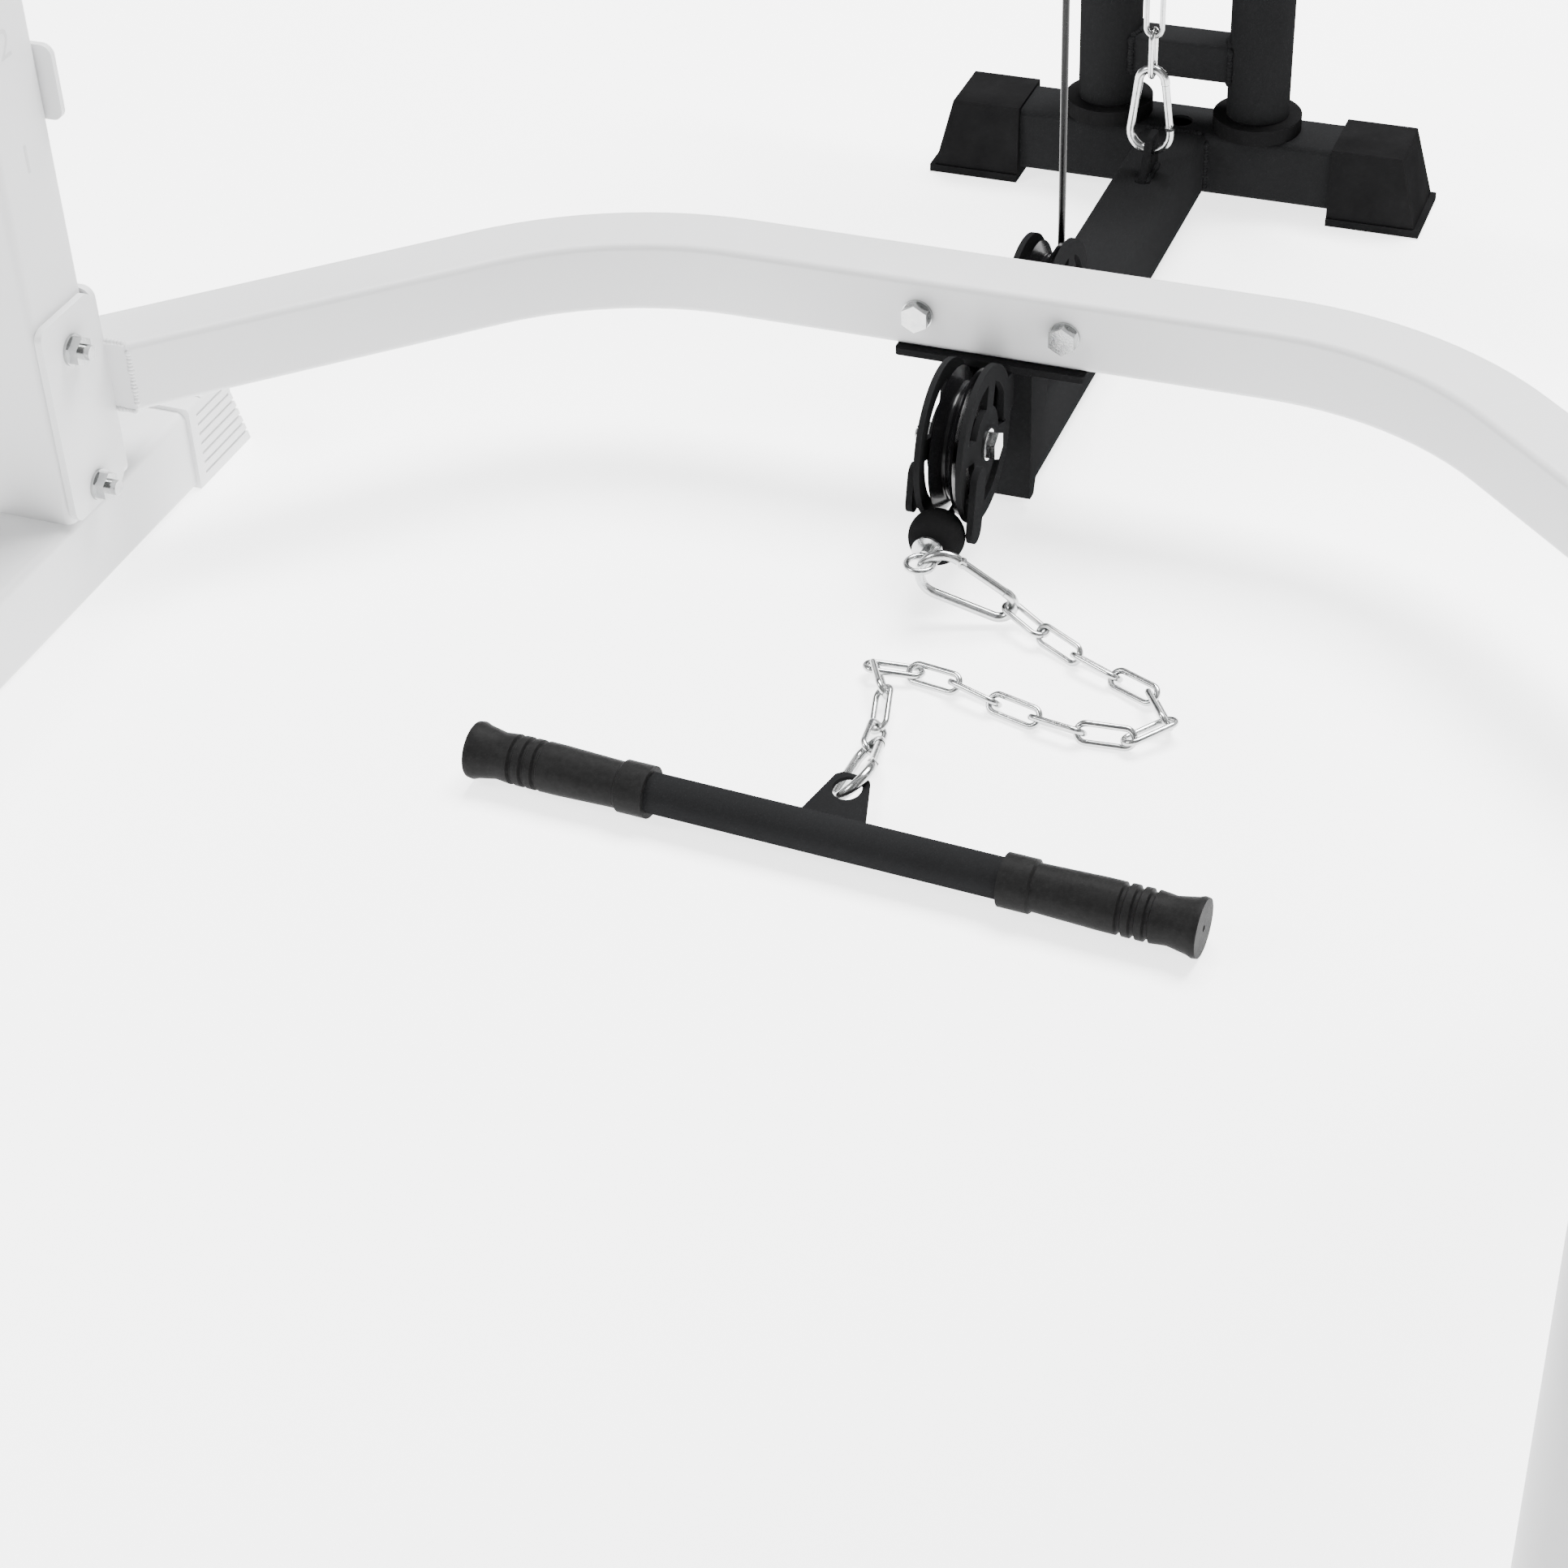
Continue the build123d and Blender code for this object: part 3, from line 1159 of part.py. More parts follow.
with BuildPart() as lat_hook_gate:
    with Locations(lat_hook_plane.location):
        add(hook_gate.part)
export(lat_hook_gate.part, "lat_hook_gate")

lat_narrow_z = lat_hook_start_z - hook_reach
lat_lug_hole_z = lat_narrow_z - (lug_hole_r - hook_wire_r - 0.6)
lat_handle_z = lat_lug_hole_z - lug_hole_reach
lat_bend_x = 250.0
lat_drop = 90.0

with BuildPart() as lat_bar:
    half_length = lat_bar_length / 2
    with BuildLine(Plane.XZ.offset(-lat_bar_y)) as lat_route:
        FilletPolyline((-half_length, lat_handle_z - lat_drop), (-lat_bend_x, lat_handle_z),
                       (lat_bend_x, lat_handle_z), (half_length, lat_handle_z - lat_drop), radius=120.0)
    with BuildSketch(Plane(origin=lat_route.line @ 0, z_dir=lat_route.line % 0)):
        Circle(handle_r)
        Circle(handle_r - handle_wall, mode=Mode.SUBTRACT)
    sweep(path=lat_route.line)
    lat_centre = Vector(0, lat_bar_y, lat_handle_z)
    add(handle_lug(lug_plane(lat_centre, Vector(1, 0, 0), Vector(0, 0, 1)), lug_hole_r))
export(lat_bar.part, "lat_bar")

with BuildPart() as lat_bar_grips:
    slope = Vector(half_length - lat_bend_x, 0, -lat_drop).normalized()
    for side in (-1, 1):
        outward = Vector(side * slope.X, 0, slope.Z)
        tip = Vector(side * half_length, lat_bar_y, lat_handle_z - lat_drop)
        with Locations(Plane(origin=tip - outward * grip_bite, z_dir=outward).location):
            add(grip.part)
export(lat_bar_grips.part, "lat_bar_grips")

lat_cable_end_z = lat_axle_z - 6.0
carriage_hole_top = lat_eye_z + 4.0 + eye_hole_r
carriage_ring_z = carriage_hole_top + 6.3
lat_cable_bottom = carriage_ring_z + ring_r + 12.0
with BuildPart() as lat_cable_over:
    with BuildLine(Plane.YZ) as lat_over_route:
        FilletPolyline((lat_bar_y, lat_cable_end_z), (lat_bar_y, lat_axle_z + cable_turn_r),
                       (foot_y, lat_axle_z + cable_turn_r), (foot_y, lat_cable_end_z),
                       radius=cable_turn_r)
    with BuildSketch(Plane.XY.offset(lat_cable_end_z)):
        with Locations((0, lat_bar_y)):
            Circle(cable_d / 2)
    sweep(path=lat_over_route.line)
export(lat_cable_over.part, "lat_cable_over")

with BuildPart() as lat_cable_bar_run:
    ball_top = lat_ball_z + ball_r + 0.02
    add(rod((0, lat_bar_y, ball_top), (0, 0, 1), lat_cable_end_z - ball_top, cable_d / 2))
export(lat_cable_bar_run.part, "lat_cable_bar_run")

with BuildPart() as lat_cable_weight_run:
    add(rod((0, foot_y, lat_cable_bottom), (0, 0, 1), lat_cable_end_z - lat_cable_bottom, cable_d / 2))
export(lat_cable_weight_run.part, "lat_cable_weight_run")

with BuildPart() as carriage_eyelet:
    add(ring_with_shank((0, foot_y, carriage_ring_z), (0, 0, 1), (1, 0, 0), 12.0))
export(carriage_eyelet.part, "carriage_eyelet")

for name, cable, route in (("row cable", row_cable, row_route), ("lat cable", lat_cable_over, lat_over_route)):
    cable_length = sum(edge.length for edge in route.line.edges())
    section_area = pi * (cable_d / 2) ** 2
    print(name, "length", round(cable_length, 1), "bend radius", cable_turn_r,
          "volume share", round(cable.part.volume / (section_area * cable_length), 4))
for name, place in (*hook_planes.items(), ("lat", lat_hook_plane)):
    pivot = place.from_local_coords((gate_pivot[0], gate_pivot[1], 0))
    print(name, "gate pivot", pivot, "axis", place.z_dir)
print("lat bar height", round(lat_handle_z, 1), "lat ball", round(lat_ball_z, 1))
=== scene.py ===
# %% [markdown]
# # A power cage with a lat and low-row tower
#
# The steel frame, the tower behind it, its wheels, cables, hooks and handles all come
# ready-made from the CAD model, so this lesson is about what CAD leaves out: paint with a
# grain, zinc that has been handled, rubber that is not quite black, the welds, the height
# numbers and the small parts that only the eye needs. The first cell brings the frame in.
# Nothing added later may stand outside it.

# %% Load the frame
import json
import math

import bmesh
import bpy
from mathutils import Matrix, Vector

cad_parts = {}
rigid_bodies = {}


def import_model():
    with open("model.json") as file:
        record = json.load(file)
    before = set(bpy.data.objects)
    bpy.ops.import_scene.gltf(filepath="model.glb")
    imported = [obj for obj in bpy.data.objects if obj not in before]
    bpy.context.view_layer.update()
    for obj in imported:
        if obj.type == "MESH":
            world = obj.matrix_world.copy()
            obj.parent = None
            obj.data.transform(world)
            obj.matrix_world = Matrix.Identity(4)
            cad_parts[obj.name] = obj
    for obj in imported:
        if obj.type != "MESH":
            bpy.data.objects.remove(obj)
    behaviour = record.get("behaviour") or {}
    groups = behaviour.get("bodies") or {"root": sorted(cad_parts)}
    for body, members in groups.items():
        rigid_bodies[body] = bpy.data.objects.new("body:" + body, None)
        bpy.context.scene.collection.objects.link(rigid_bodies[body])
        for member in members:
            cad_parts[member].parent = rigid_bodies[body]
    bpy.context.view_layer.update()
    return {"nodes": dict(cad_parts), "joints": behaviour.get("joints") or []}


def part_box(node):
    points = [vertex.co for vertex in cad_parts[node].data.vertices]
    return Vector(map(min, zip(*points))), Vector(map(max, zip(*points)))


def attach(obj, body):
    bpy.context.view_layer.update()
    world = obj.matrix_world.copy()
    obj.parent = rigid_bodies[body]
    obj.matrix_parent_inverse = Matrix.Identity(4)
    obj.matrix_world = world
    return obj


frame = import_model()

# %% [markdown]
# ## The camera
#
# A camera looks along its own -Z, so the steadiest way to aim one is to work out its three
# axes and write them straight into its matrix. Here the eye is at about head height in
# front of the cage and looks down over the handle on the floor towards the tower's foot.
# The small roll is part of how such a picture is taken by hand.

# %% Camera
eye_point = Vector((0.5495, -1.223, 1.160))
turn_left = math.radians(22.4698)
look_down = math.radians(37.790)
roll = math.radians(2.6301)

forward = Vector((-math.sin(turn_left) * math.cos(look_down), math.cos(turn_left) * math.cos(look_down),
                  -math.sin(look_down)))
level_right = forward.cross(Vector((0, 0, 1))).normalized()
level_down = forward.cross(level_right)
right = math.cos(roll) * level_right + math.sin(roll) * level_down
down = math.cos(roll) * level_down - math.sin(roll) * level_right

camera_data = bpy.data.cameras.new("camera")
camera_data.sensor_width = 36.0
camera_data.lens = 72.32
camera_data.clip_end = 60.0
camera = bpy.data.objects.new("camera", camera_data)
bpy.context.scene.collection.objects.link(camera)
axes = Matrix((right, -down, -forward)).transposed().to_4x4()
camera.matrix_world = Matrix.Translation(eye_point) @ axes
bpy.context.scene.camera = camera
print("camera looks along", [round(v, 3) for v in forward])

# %% [markdown]
# ## Shader maths as plain expressions
#
# A procedural finish is mostly arithmetic: take a noise, shrink it, add it to a base
# value, cut it off. Wiring that by hand is hard to read back, so a small class wraps a
# socket and lets `0.4 + grain * 0.1` build its own Math nodes. Colours never go through a
# Math node, which would turn them grey: they are mixed with a Mix node instead.

# %% A socket that can be used in sums


class Wire:
    """An output socket that adds Math nodes when it is used in an expression."""

    def __init__(self, finish, socket):
        self.finish = finish
        self.socket = socket

    def _join(self, operation, first, second):
        return self.finish.node("ShaderNodeMath", {"operation": operation}, {0: first, 1: second})

    def __add__(self, other):
        return self._join("ADD", self, other)

    def __radd__(self, other):
        return self._join("ADD", other, self)

    def __sub__(self, other):
        return self._join("SUBTRACT", self, other)

    def __rsub__(self, other):
        return self._join("SUBTRACT", other, self)

    def __mul__(self, other):
        return self._join("MULTIPLY", self, other)

    def __rmul__(self, other):
        return self._join("MULTIPLY", other, self)

    def __gt__(self, other):
        return self._join("GREATER_THAN", self, other)


# %% A finish is one material with its shader


class Finish:
    """One material: fixed values go on the shader's own sockets, the rest is linked to it."""

    def __init__(self, name, **fixed):
        self.material = bpy.data.materials.new(name)
        self.material.use_nodes = True
        self.tree = self.material.node_tree
        self.tree.nodes.clear()
        self.shader = self.tree.nodes.new("ShaderNodeBsdfPrincipled")
        self.end = self.tree.nodes.new("ShaderNodeOutputMaterial")
        self.tree.links.new(self.shader.outputs["BSDF"], self.end.inputs["Surface"])
        for key, value in fixed.items():
            self.shader.inputs[key.replace("_", " ")].default_value = value

    def node(self, kind, settings=None, sockets=None, out=0):
        """Adds a node: its settings first, then its sockets' values or links."""
        made = self.tree.nodes.new(kind)
        for key, value in (settings or {}).items():
            setattr(made, key, value)
        for key, value in (sockets or {}).items():
            if isinstance(value, Wire):
                self.tree.links.new(value.socket, made.inputs[key])
            else:
                made.inputs[key].default_value = value
        return Wire(self, made.outputs[out])

    def place(self, scale=(1.0, 1.0, 1.0)):
        """The point on the object in metres, stretched along its axes for streaks."""
        point = self.node("ShaderNodeTexCoord", out="Object")
        return self.node("ShaderNodeMapping", None, {"Vector": point, "Scale": scale})

    def noise(self, size, detail=2.0, rough=0.5, stretch=(1.0, 1.0, 1.0)):
        """Noise from 0 to 1 whose spots are about `size` metres across."""
        return self.node("ShaderNodeTexNoise", None,
                         {"Vector": self.place(stretch), "Scale": 1.0 / size, "Detail": detail,
                          "Roughness": rough})

    def between(self, mask, low, high):
        """Colour that runs from low to high with a mask."""
        return self.node("ShaderNodeMix", {"data_type": "RGBA", "clamp_factor": True},
                         {0: mask, 6: (*low, 1.0), 7: (*high, 1.0)}, out=2)

    def drive(self, socket, wire):
        """Links what changes over the surface to one of the shader's sockets."""
        self.tree.links.new(wire.socket, self.shader.inputs[socket])

    def bump(self, height, depth, strength=1.0):
        """Raises the surface by `height` times `depth` metres."""
        self.drive("Normal", self.node("ShaderNodeBump", None,
                                       {"Strength": strength, "Distance": depth, "Height": height}))


print("finish tools ready")

# %% [markdown]
# ## Paint
#
# Both paints are powder coats, which is a plastic melted on to the steel. The cage's pale
# coat is smooth with a soft orange peel a few millimetres across. The tower's black coat
# is the fine-texture kind: seen close up it is a field of half-millimetre bumps. They break
# up every reflection, even the one that skims along a face, so its specular level is nought
# and the soft grey of its top faces is all diffuse. A little wider
# noise in the colour keeps long tubes from looking printed.

# %% Pale coat of the cage
cage_paint = Finish("cage pale coat", Specular_IOR_Level=0.3)
cloud = cage_paint.noise(0.35, 2.0)
cage_paint.drive("Base Color", cage_paint.between(cloud, (0.62, 0.623, 0.627), (0.68, 0.683, 0.687)))
peel = cage_paint.noise(0.0022, 2.0)
cage_paint.drive("Roughness", 0.40 + cage_paint.noise(0.05, 3.0) * 0.12)
cage_paint.bump(peel, 0.00008)
print("cage pale coat")

# %% Black fine-texture coat of the tower
tower_paint = Finish("tower black coat", Specular_IOR_Level=0.0)
speck = tower_paint.noise(0.0009, 3.0, 0.6)
dust = tower_paint.noise(0.12, 4.0)
tower_paint.drive("Base Color", tower_paint.between(dust * 0.6 + speck * 0.4, (0.0062, 0.0063, 0.0066),
                                                    (0.0185, 0.0188, 0.0194)))
tower_paint.drive("Roughness", 0.44 + speck * 0.16 + dust * 0.06)
tower_paint.bump(speck, 0.00022, 0.9)
print("tower black coat")

# %% [markdown]
# ## Bright metal
#
# Chain, snap hooks and bolts are zinc plated. Zinc is a mirror that has been breathed on:
# fully metallic, but its roughness wanders from place to place, with a faint warm or blue
# cast. The guide posts are polished chrome with long drawing lines, which is the same
# noise stretched a hundred times along Z.

# %% Zinc
zinc = Finish("bright zinc", Metallic=1.0)
bloom = zinc.noise(0.006, 3.0, 0.6)
zinc.drive("Base Color", zinc.between(bloom, (0.31, 0.32, 0.335), (0.57, 0.57, 0.555)))
zinc.drive("Roughness", 0.12 + bloom * 0.16)
zinc.bump(zinc.noise(0.0013, 2.0), 0.00005)
print("bright zinc")

# %% Chrome of the guide posts
guide_chrome = Finish("guide chrome", Metallic=1.0)
lines = guide_chrome.noise(0.0012, 2.0, 0.5, (1.0, 1.0, 0.01))
guide_chrome.drive("Base Color", guide_chrome.between(lines, (0.70, 0.70, 0.71), (0.82, 0.82, 0.83)))
guide_chrome.drive("Roughness", 0.07 + lines * 0.10)
print("guide chrome")

# %% [markdown]
# ## Rubber, nylon and cable
#
# Three blacks that only their gloss tells apart. The moulded boots are dull with a fine
# leathery grain. The handle grips are softer rubber, rubbed smoother on the high spots, so
# one noise drives colour, roughness and height together. The wheels are turned nylon with
# a hard shine, and the cable's coat is smooth enough to draw one bright line.

# %% Moulded boots
boot_rubber = Finish("boot rubber", Specular_IOR_Level=0.0)
grain = boot_rubber.noise(0.0012, 4.0, 0.65)
scuff = boot_rubber.noise(0.03, 4.0, 0.6)
boot_rubber.drive("Base Color", boot_rubber.between(scuff, (0.0045, 0.0045, 0.0047), (0.0120, 0.0120, 0.0123)))
boot_rubber.drive("Roughness", 0.52 + grain * 0.18)
boot_rubber.bump(grain, 0.00012, 0.7)
print("boot rubber")

# %% Pale boots of the cage's runners
pale_boot = Finish("pale boot plastic", Specular_IOR_Level=0.25)
pale_grain = pale_boot.noise(0.0015, 3.0, 0.6)
pale_boot.drive("Base Color", pale_boot.between(pale_grain, (0.66, 0.662, 0.665), (0.72, 0.722, 0.725)))
pale_boot.drive("Roughness", 0.5 + pale_grain * 0.12)
pale_boot.bump(pale_grain, 0.0001, 0.6)
print("pale boot plastic")

# %% Handle grips
grip_rubber = Finish("grip rubber", Specular_IOR_Level=0.03)
leather = grip_rubber.noise(0.004, 5.0, 0.7)
rubbed = grip_rubber.noise(0.018, 3.0, 0.6)
grip_rubber.drive("Base Color", grip_rubber.between(leather, (0.0055, 0.0055, 0.0055), (0.0170, 0.0170, 0.0170)))
grip_rubber.drive("Roughness", 0.36 + leather * 0.14 + rubbed * 0.14)
grip_rubber.bump(leather, 0.0004, 0.6)
print("grip rubber")

# %% Nylon wheels
wheel_nylon = Finish("wheel nylon", Coat_Roughness=0.06, Specular_IOR_Level=0.1)
sheen = wheel_nylon.noise(0.02, 3.0)
wheel_nylon.drive("Base Color", wheel_nylon.between(sheen, (0.0030, 0.0030, 0.0034), (0.0060, 0.0060, 0.0065)))
wheel_nylon.drive("Roughness", 0.16 + sheen * 0.12)
wheel_nylon.drive("Coat Weight", 0.03 + sheen * 0.08)
print("wheel nylon")

# %% Cable coat and grey plugs
cable_coat = Finish("cable coat", Specular_IOR_Level=0.25)
smear = cable_coat.noise(0.01, 3.0, 0.6)
cable_coat.drive("Base Color", cable_coat.between(smear, (0.0020, 0.0020, 0.0022), (0.0045, 0.0045, 0.0048)))
cable_coat.drive("Roughness", 0.20 + smear * 0.16)

plug_plastic = Finish("plug plastic")
mould = plug_plastic.noise(0.002, 3.0)
plug_plastic.drive("Base Color", plug_plastic.between(mould, (0.56, 0.562, 0.565), (0.62, 0.622, 0.625)))
plug_plastic.drive("Roughness", 0.45 + mould * 0.1)
print("cable coat, plug plastic")

# %% [markdown]
# ## Shading the CAD nodes
#
# The CAD meshes arrive as loose triangles, which would show a tube as a row of flats. The
# mesh itself must stay as it is, so the rounding is a modifier: merge the doubles, shade
# everything smooth, then keep only the edges over thirty degrees sharp.

# %% A smooth-by-angle modifier
round_tree = bpy.data.node_groups.new("smooth round, sharp corners", "GeometryNodeTree")
round_tree.interface.new_socket("Geometry", in_out="INPUT", socket_type="NodeSocketGeometry")
round_tree.interface.new_socket("Geometry", in_out="OUTPUT", socket_type="NodeSocketGeometry")
entry = round_tree.nodes.new("NodeGroupInput")
leave = round_tree.nodes.new("NodeGroupOutput")
merge = round_tree.nodes.new("GeometryNodeMergeByDistance")
merge.inputs["Distance"].default_value = 0.000004
all_smooth = round_tree.nodes.new("GeometryNodeSetShadeSmooth")
sharp = round_tree.nodes.new("GeometryNodeSetShadeSmooth")
sharp.domain = "EDGE"
sharp.inputs["Shade Smooth"].default_value = False
angle = round_tree.nodes.new("GeometryNodeInputMeshEdgeAngle")
over = round_tree.nodes.new("FunctionNodeCompare")
over.operation = "GREATER_THAN"
over.inputs[1].default_value = math.radians(30)
round_tree.links.new(entry.outputs[0], merge.inputs["Geometry"])
round_tree.links.new(merge.outputs["Geometry"], all_smooth.inputs["Geometry"])
round_tree.links.new(all_smooth.outputs["Geometry"], sharp.inputs["Geometry"])
round_tree.links.new(angle.outputs["Unsigned Angle"], over.inputs[0])
round_tree.links.new(over.outputs["Result"], sharp.inputs["Selection"])
round_tree.links.new(sharp.outputs["Geometry"], leave.inputs[0])


def dress(node_name, finish):
    """Gives a CAD node its finish and its smooth shading."""
    node = frame["nodes"][node_name]
    node.data.materials.clear()
    node.data.materials.append(finish.material)
    node.modifiers.new("round", "NODES").node_group = round_tree


# %% Which node wears which finish
wardrobe = {
    cage_paint: ["left_base_runner", "right_base_runner", "front_left_upright", "front_right_upright",
                 "rear_left_upright", "rear_right_upright", "rear_crossbar", "crossbar_brackets",
                 "left_top_rail", "right_top_rail", "rear_top_crossbar", "pull_up_bar", "plate_pegs",
                 "safety_bars"],
    tower_paint: ["tower_base_tube", "tower_foot_tube", "tower_mount_bracket", "weight_carriage", "top_beam",
                  "left_bar_hook", "right_bar_hook", "row_bar", "lat_bar"],
    zinc: ["frame_bolts", "frame_nuts", "pulley_bolts", "pulley_nuts", "left_safety_pin", "right_safety_pin",
           "row_chain", "anchor_chain", "row_snap_hooks", "row_hook_gate", "anchor_hook_gate",
           "bar_hook_gate", "row_cable_eyes", "lat_snap_hook", "lat_hook_gate", "carriage_eyelet",
           "pulley_bushings"],
    guide_chrome: ["guide_posts"],
    boot_rubber: ["tower_foot_caps", "post_bumpers", "row_ball_stop", "lat_ball_stop"],
    pale_boot: ["runner_end_caps"],
    grip_rubber: ["row_bar_grips", "lat_bar_grips"],
    wheel_nylon: ["front_low_pulley", "rear_low_pulley", "lat_front_pulley", "lat_rear_pulley",
                  "row_top_front_pulley", "row_top_rear_pulley", "carriage_bushes"],
    cable_coat: ["row_cable", "lat_cable_over", "lat_cable_bar_run", "lat_cable_weight_run"],
    plug_plastic: ["tube_plugs"],
}
for finish, names in wardrobe.items():
    for node_name in names:
        dress(node_name, finish)
undressed = sorted(set(frame["nodes"]) - {n for names in wardrobe.values() for n in names})
print(len(frame["nodes"]), "nodes dressed, left out:", undressed)

# %% [markdown]
# ## From a bmesh to a piece
#
# Every piece made here goes through the same door: its faces are turned outwards, it
# becomes an object at the origin, takes a finish and rides on the body it is fixed to.

# %% The door


def piece(name, shape, finish, body, smooth=True):
    """Turns a bmesh into a finished piece of the object."""
    bmesh.ops.recalc_face_normals(shape, faces=shape.faces)
    mesh = bpy.data.meshes.new(name)
    shape.to_mesh(mesh)
    shape.free()
    mesh.materials.append(finish.material)
    mesh.polygons.foreach_set("use_smooth", [smooth] * len(mesh.polygons))
    made = bpy.data.objects.new(name, mesh)
    bpy.context.scene.collection.objects.link(made)
    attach(made, body)
    return made


def mm(*values):
    """Millimetres to a vector in metres."""
    return Vector(values) / 1000.0


# %% [markdown]
# ## Welds
#
# A fillet weld is a row of small frozen puddles, each lapping the last. A swept tube would
# look like a cord, so each puddle is a flattened ball and they are laid 2.6 mm apart with a
# little change in size. The paint runs over the weld, so it wears the tube's own finish.

# %% Laying a bead


def lay_bead(shape, path, bead=2.8, step=2.6):
    """Adds a row of puddles along a path of points in millimetres."""
    count = 0
    for start, end in zip(path[:-1], path[1:]):
        start, end = Vector(start), Vector(end)
        length = (end - start).length
        turn = (end - start).normalized().to_track_quat("X", "Z").to_matrix().to_4x4()
        for index in range(max(1, round(length / step))):
            point = start.lerp(end, (index + 0.5) / max(1, round(length / step)))
            wobble = 1.0 + 0.10 * math.sin(5.1 * count) + 0.06 * math.sin(2.3 * count)
            size = Matrix.Diagonal((bead * 0.85 * wobble, bead * wobble, bead * 0.92 * wobble, 1.0))
            at = Matrix.Translation(point) @ turn @ size
            bmesh.ops.create_icosphere(shape, subdivisions=2, radius=1.0,
                                       matrix=Matrix.Scale(0.001, 4) @ at)
            count += 1
    return count


def weld(name, paths, finish, body, bead=2.8):
    """One piece for all the beads of a joint."""
    shape = bmesh.new()
    total = sum(lay_bead(shape, path, bead) for path in paths)
    made = piece(name, shape, finish, body)
    print(name, total, "puddles")
    return made


# %% Beads on the tower's base
foot_front = 952.0
base_top = 58.0
eye_back, eye_front = 862.0, 895.0
weld("base_welds", [
    [(-25.5, foot_front, 12.0), (-25.5, foot_front, 52.0)],
    [(25.5, foot_front, 12.0), (25.5, foot_front, 52.0)],
    [(-21.0, foot_front + 1.0, base_top - 0.5), (21.0, foot_front + 1.0, base_top - 0.5)],
    [(-3.2, eye_back, base_top), (-3.2, eye_front, base_top)],
    [(3.2, eye_back, base_top), (3.2, eye_front, base_top)],
    [(-28.0, 492.6, 106.0), (28.0, 492.6, 106.0)],
    [(-12.0, 655.0, base_top), (-12.0, 648.0, base_top)],
], tower_paint, "frame")

# %% Beads on the carriage
sleeve_radius = 24.0
sleeve_x, carriage_y = 59.0, 977.0


def saddle(side, height, cross=15.0):
    """Where a square cross piece meets a round sleeve: across its front, then along its top."""
    def meet(y):
        return side * (sleeve_x - math.sqrt(sleeve_radius ** 2 - (y - carriage_y) ** 2) - 0.3)
    front_y = carriage_y - cross
    return [
        [(meet(front_y) - side * 1.0, front_y - 0.4, height - cross + 2.0),
         (meet(front_y) - side * 1.0, front_y - 0.4, height + cross - 2.0)],
        [(meet(y), y, height + cross + 0.2) for y in (963.0, 968.0, 973.0, 978.0, 983.0, 988.0, 991.0)],
        [(meet(y), y, height - cross - 0.2) for y in (963.0, 968.0, 973.0, 978.0, 983.0, 988.0, 991.0)],
    ]


cross_heights = (112.0, 371.3)
weld("carriage_welds", [path for side in (-1, 1) for height in cross_heights
                        for path in saddle(side, height)],
     tower_paint, "carriage")

# %% Beads on the handles
bar_middle = Vector((26.0, 100.0, 18.2))
bar_turn = math.radians(-2.9)
bar_dir = Vector((math.cos(bar_turn), math.sin(bar_turn), 0.0))
lug_rise = math.radians(12.0)
lug_dir = Vector((-math.sin(bar_turn), math.cos(bar_turn), 0.0)) * math.cos(lug_rise)
lug_dir += Vector((0.0, 0.0, math.sin(lug_rise)))
lug_face = bar_dir.cross(lug_dir)
row_lug = [[tuple(bar_middle + bar_dir * a + lug_dir * 12.2 + lug_face * (2.6 * face)) for a in (-19.0, 19.0)]
           for face in (-1, 1)]
weld("row_handle_welds", row_lug, tower_paint, "frame", 1.9)

lat_low, lat_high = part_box("lat_bar")
lat_axis_z = lat_high[2] * 1000.0 - 47.5
lat_y = 99.0
weld("lat_handle_welds", [[(-19.0, lat_y + 2.6 * face, lat_axis_z + 12.2), (19.0, lat_y + 2.6 * face, lat_axis_z + 12.2)]
                          for face in (-1, 1)], tower_paint, "lat_handle", 1.9)

# %% Beads on the cage
leg_inner, leg_outer, leg_y = 508.0, 577.0, 264.0
cage_paths = []
for side in (-1, 1):
    for height in (112.0, 162.0):
        cage_paths.append([(side * leg_inner, leg_y, height), (side * leg_outer, leg_y, height)])
    cage_paths.append([(side * (leg_inner - 1.5), leg_y, 117.0), (side * (leg_inner - 1.5), leg_y, 157.0)])
    for y in (-822.0, 228.0):
        cage_paths.append([(side * 588.0, y - 30.5, 14.0), (side * 588.0, y - 30.5, 58.0)])
        cage_paths.append([(side * 588.0, y + 30.5, 14.0), (side * 588.0, y + 30.5, 58.0)])
        cage_paths.append([(side * 558.0 - 24.0, y + 31.0, 60.0), (side * 558.0 + 24.0, y + 31.0, 60.0)])
weld("cage_welds", cage_paths, cage_paint, "frame", 2.4)

# %% [markdown]
# ## Height numbers
#
# Each hole in the uprights has a number beside it, so that both ends of a bar go in at the
# same height. They are pressed into the coat on the inner faces. Text is the quick way to
# get digits: each one is made a mesh, joined with its upright's others, and laid a tenth of
# a millimetre proud of the paint so that it doesn't flicker against it.

# %% Number ink
number_ink = Finish("number ink", Specular_IOR_Level=0.3)
wear = number_ink.noise(0.004, 4.0, 0.7)
number_ink.drive("Base Color", number_ink.between(wear, (0.50, 0.502, 0.505), (0.58, 0.582, 0.585)))
number_ink.drive("Roughness", 0.55 + wear * 0.1)

first_hole, hole_pitch, hole_total = 305.0, 75.0, 20
digit_height = 0.020


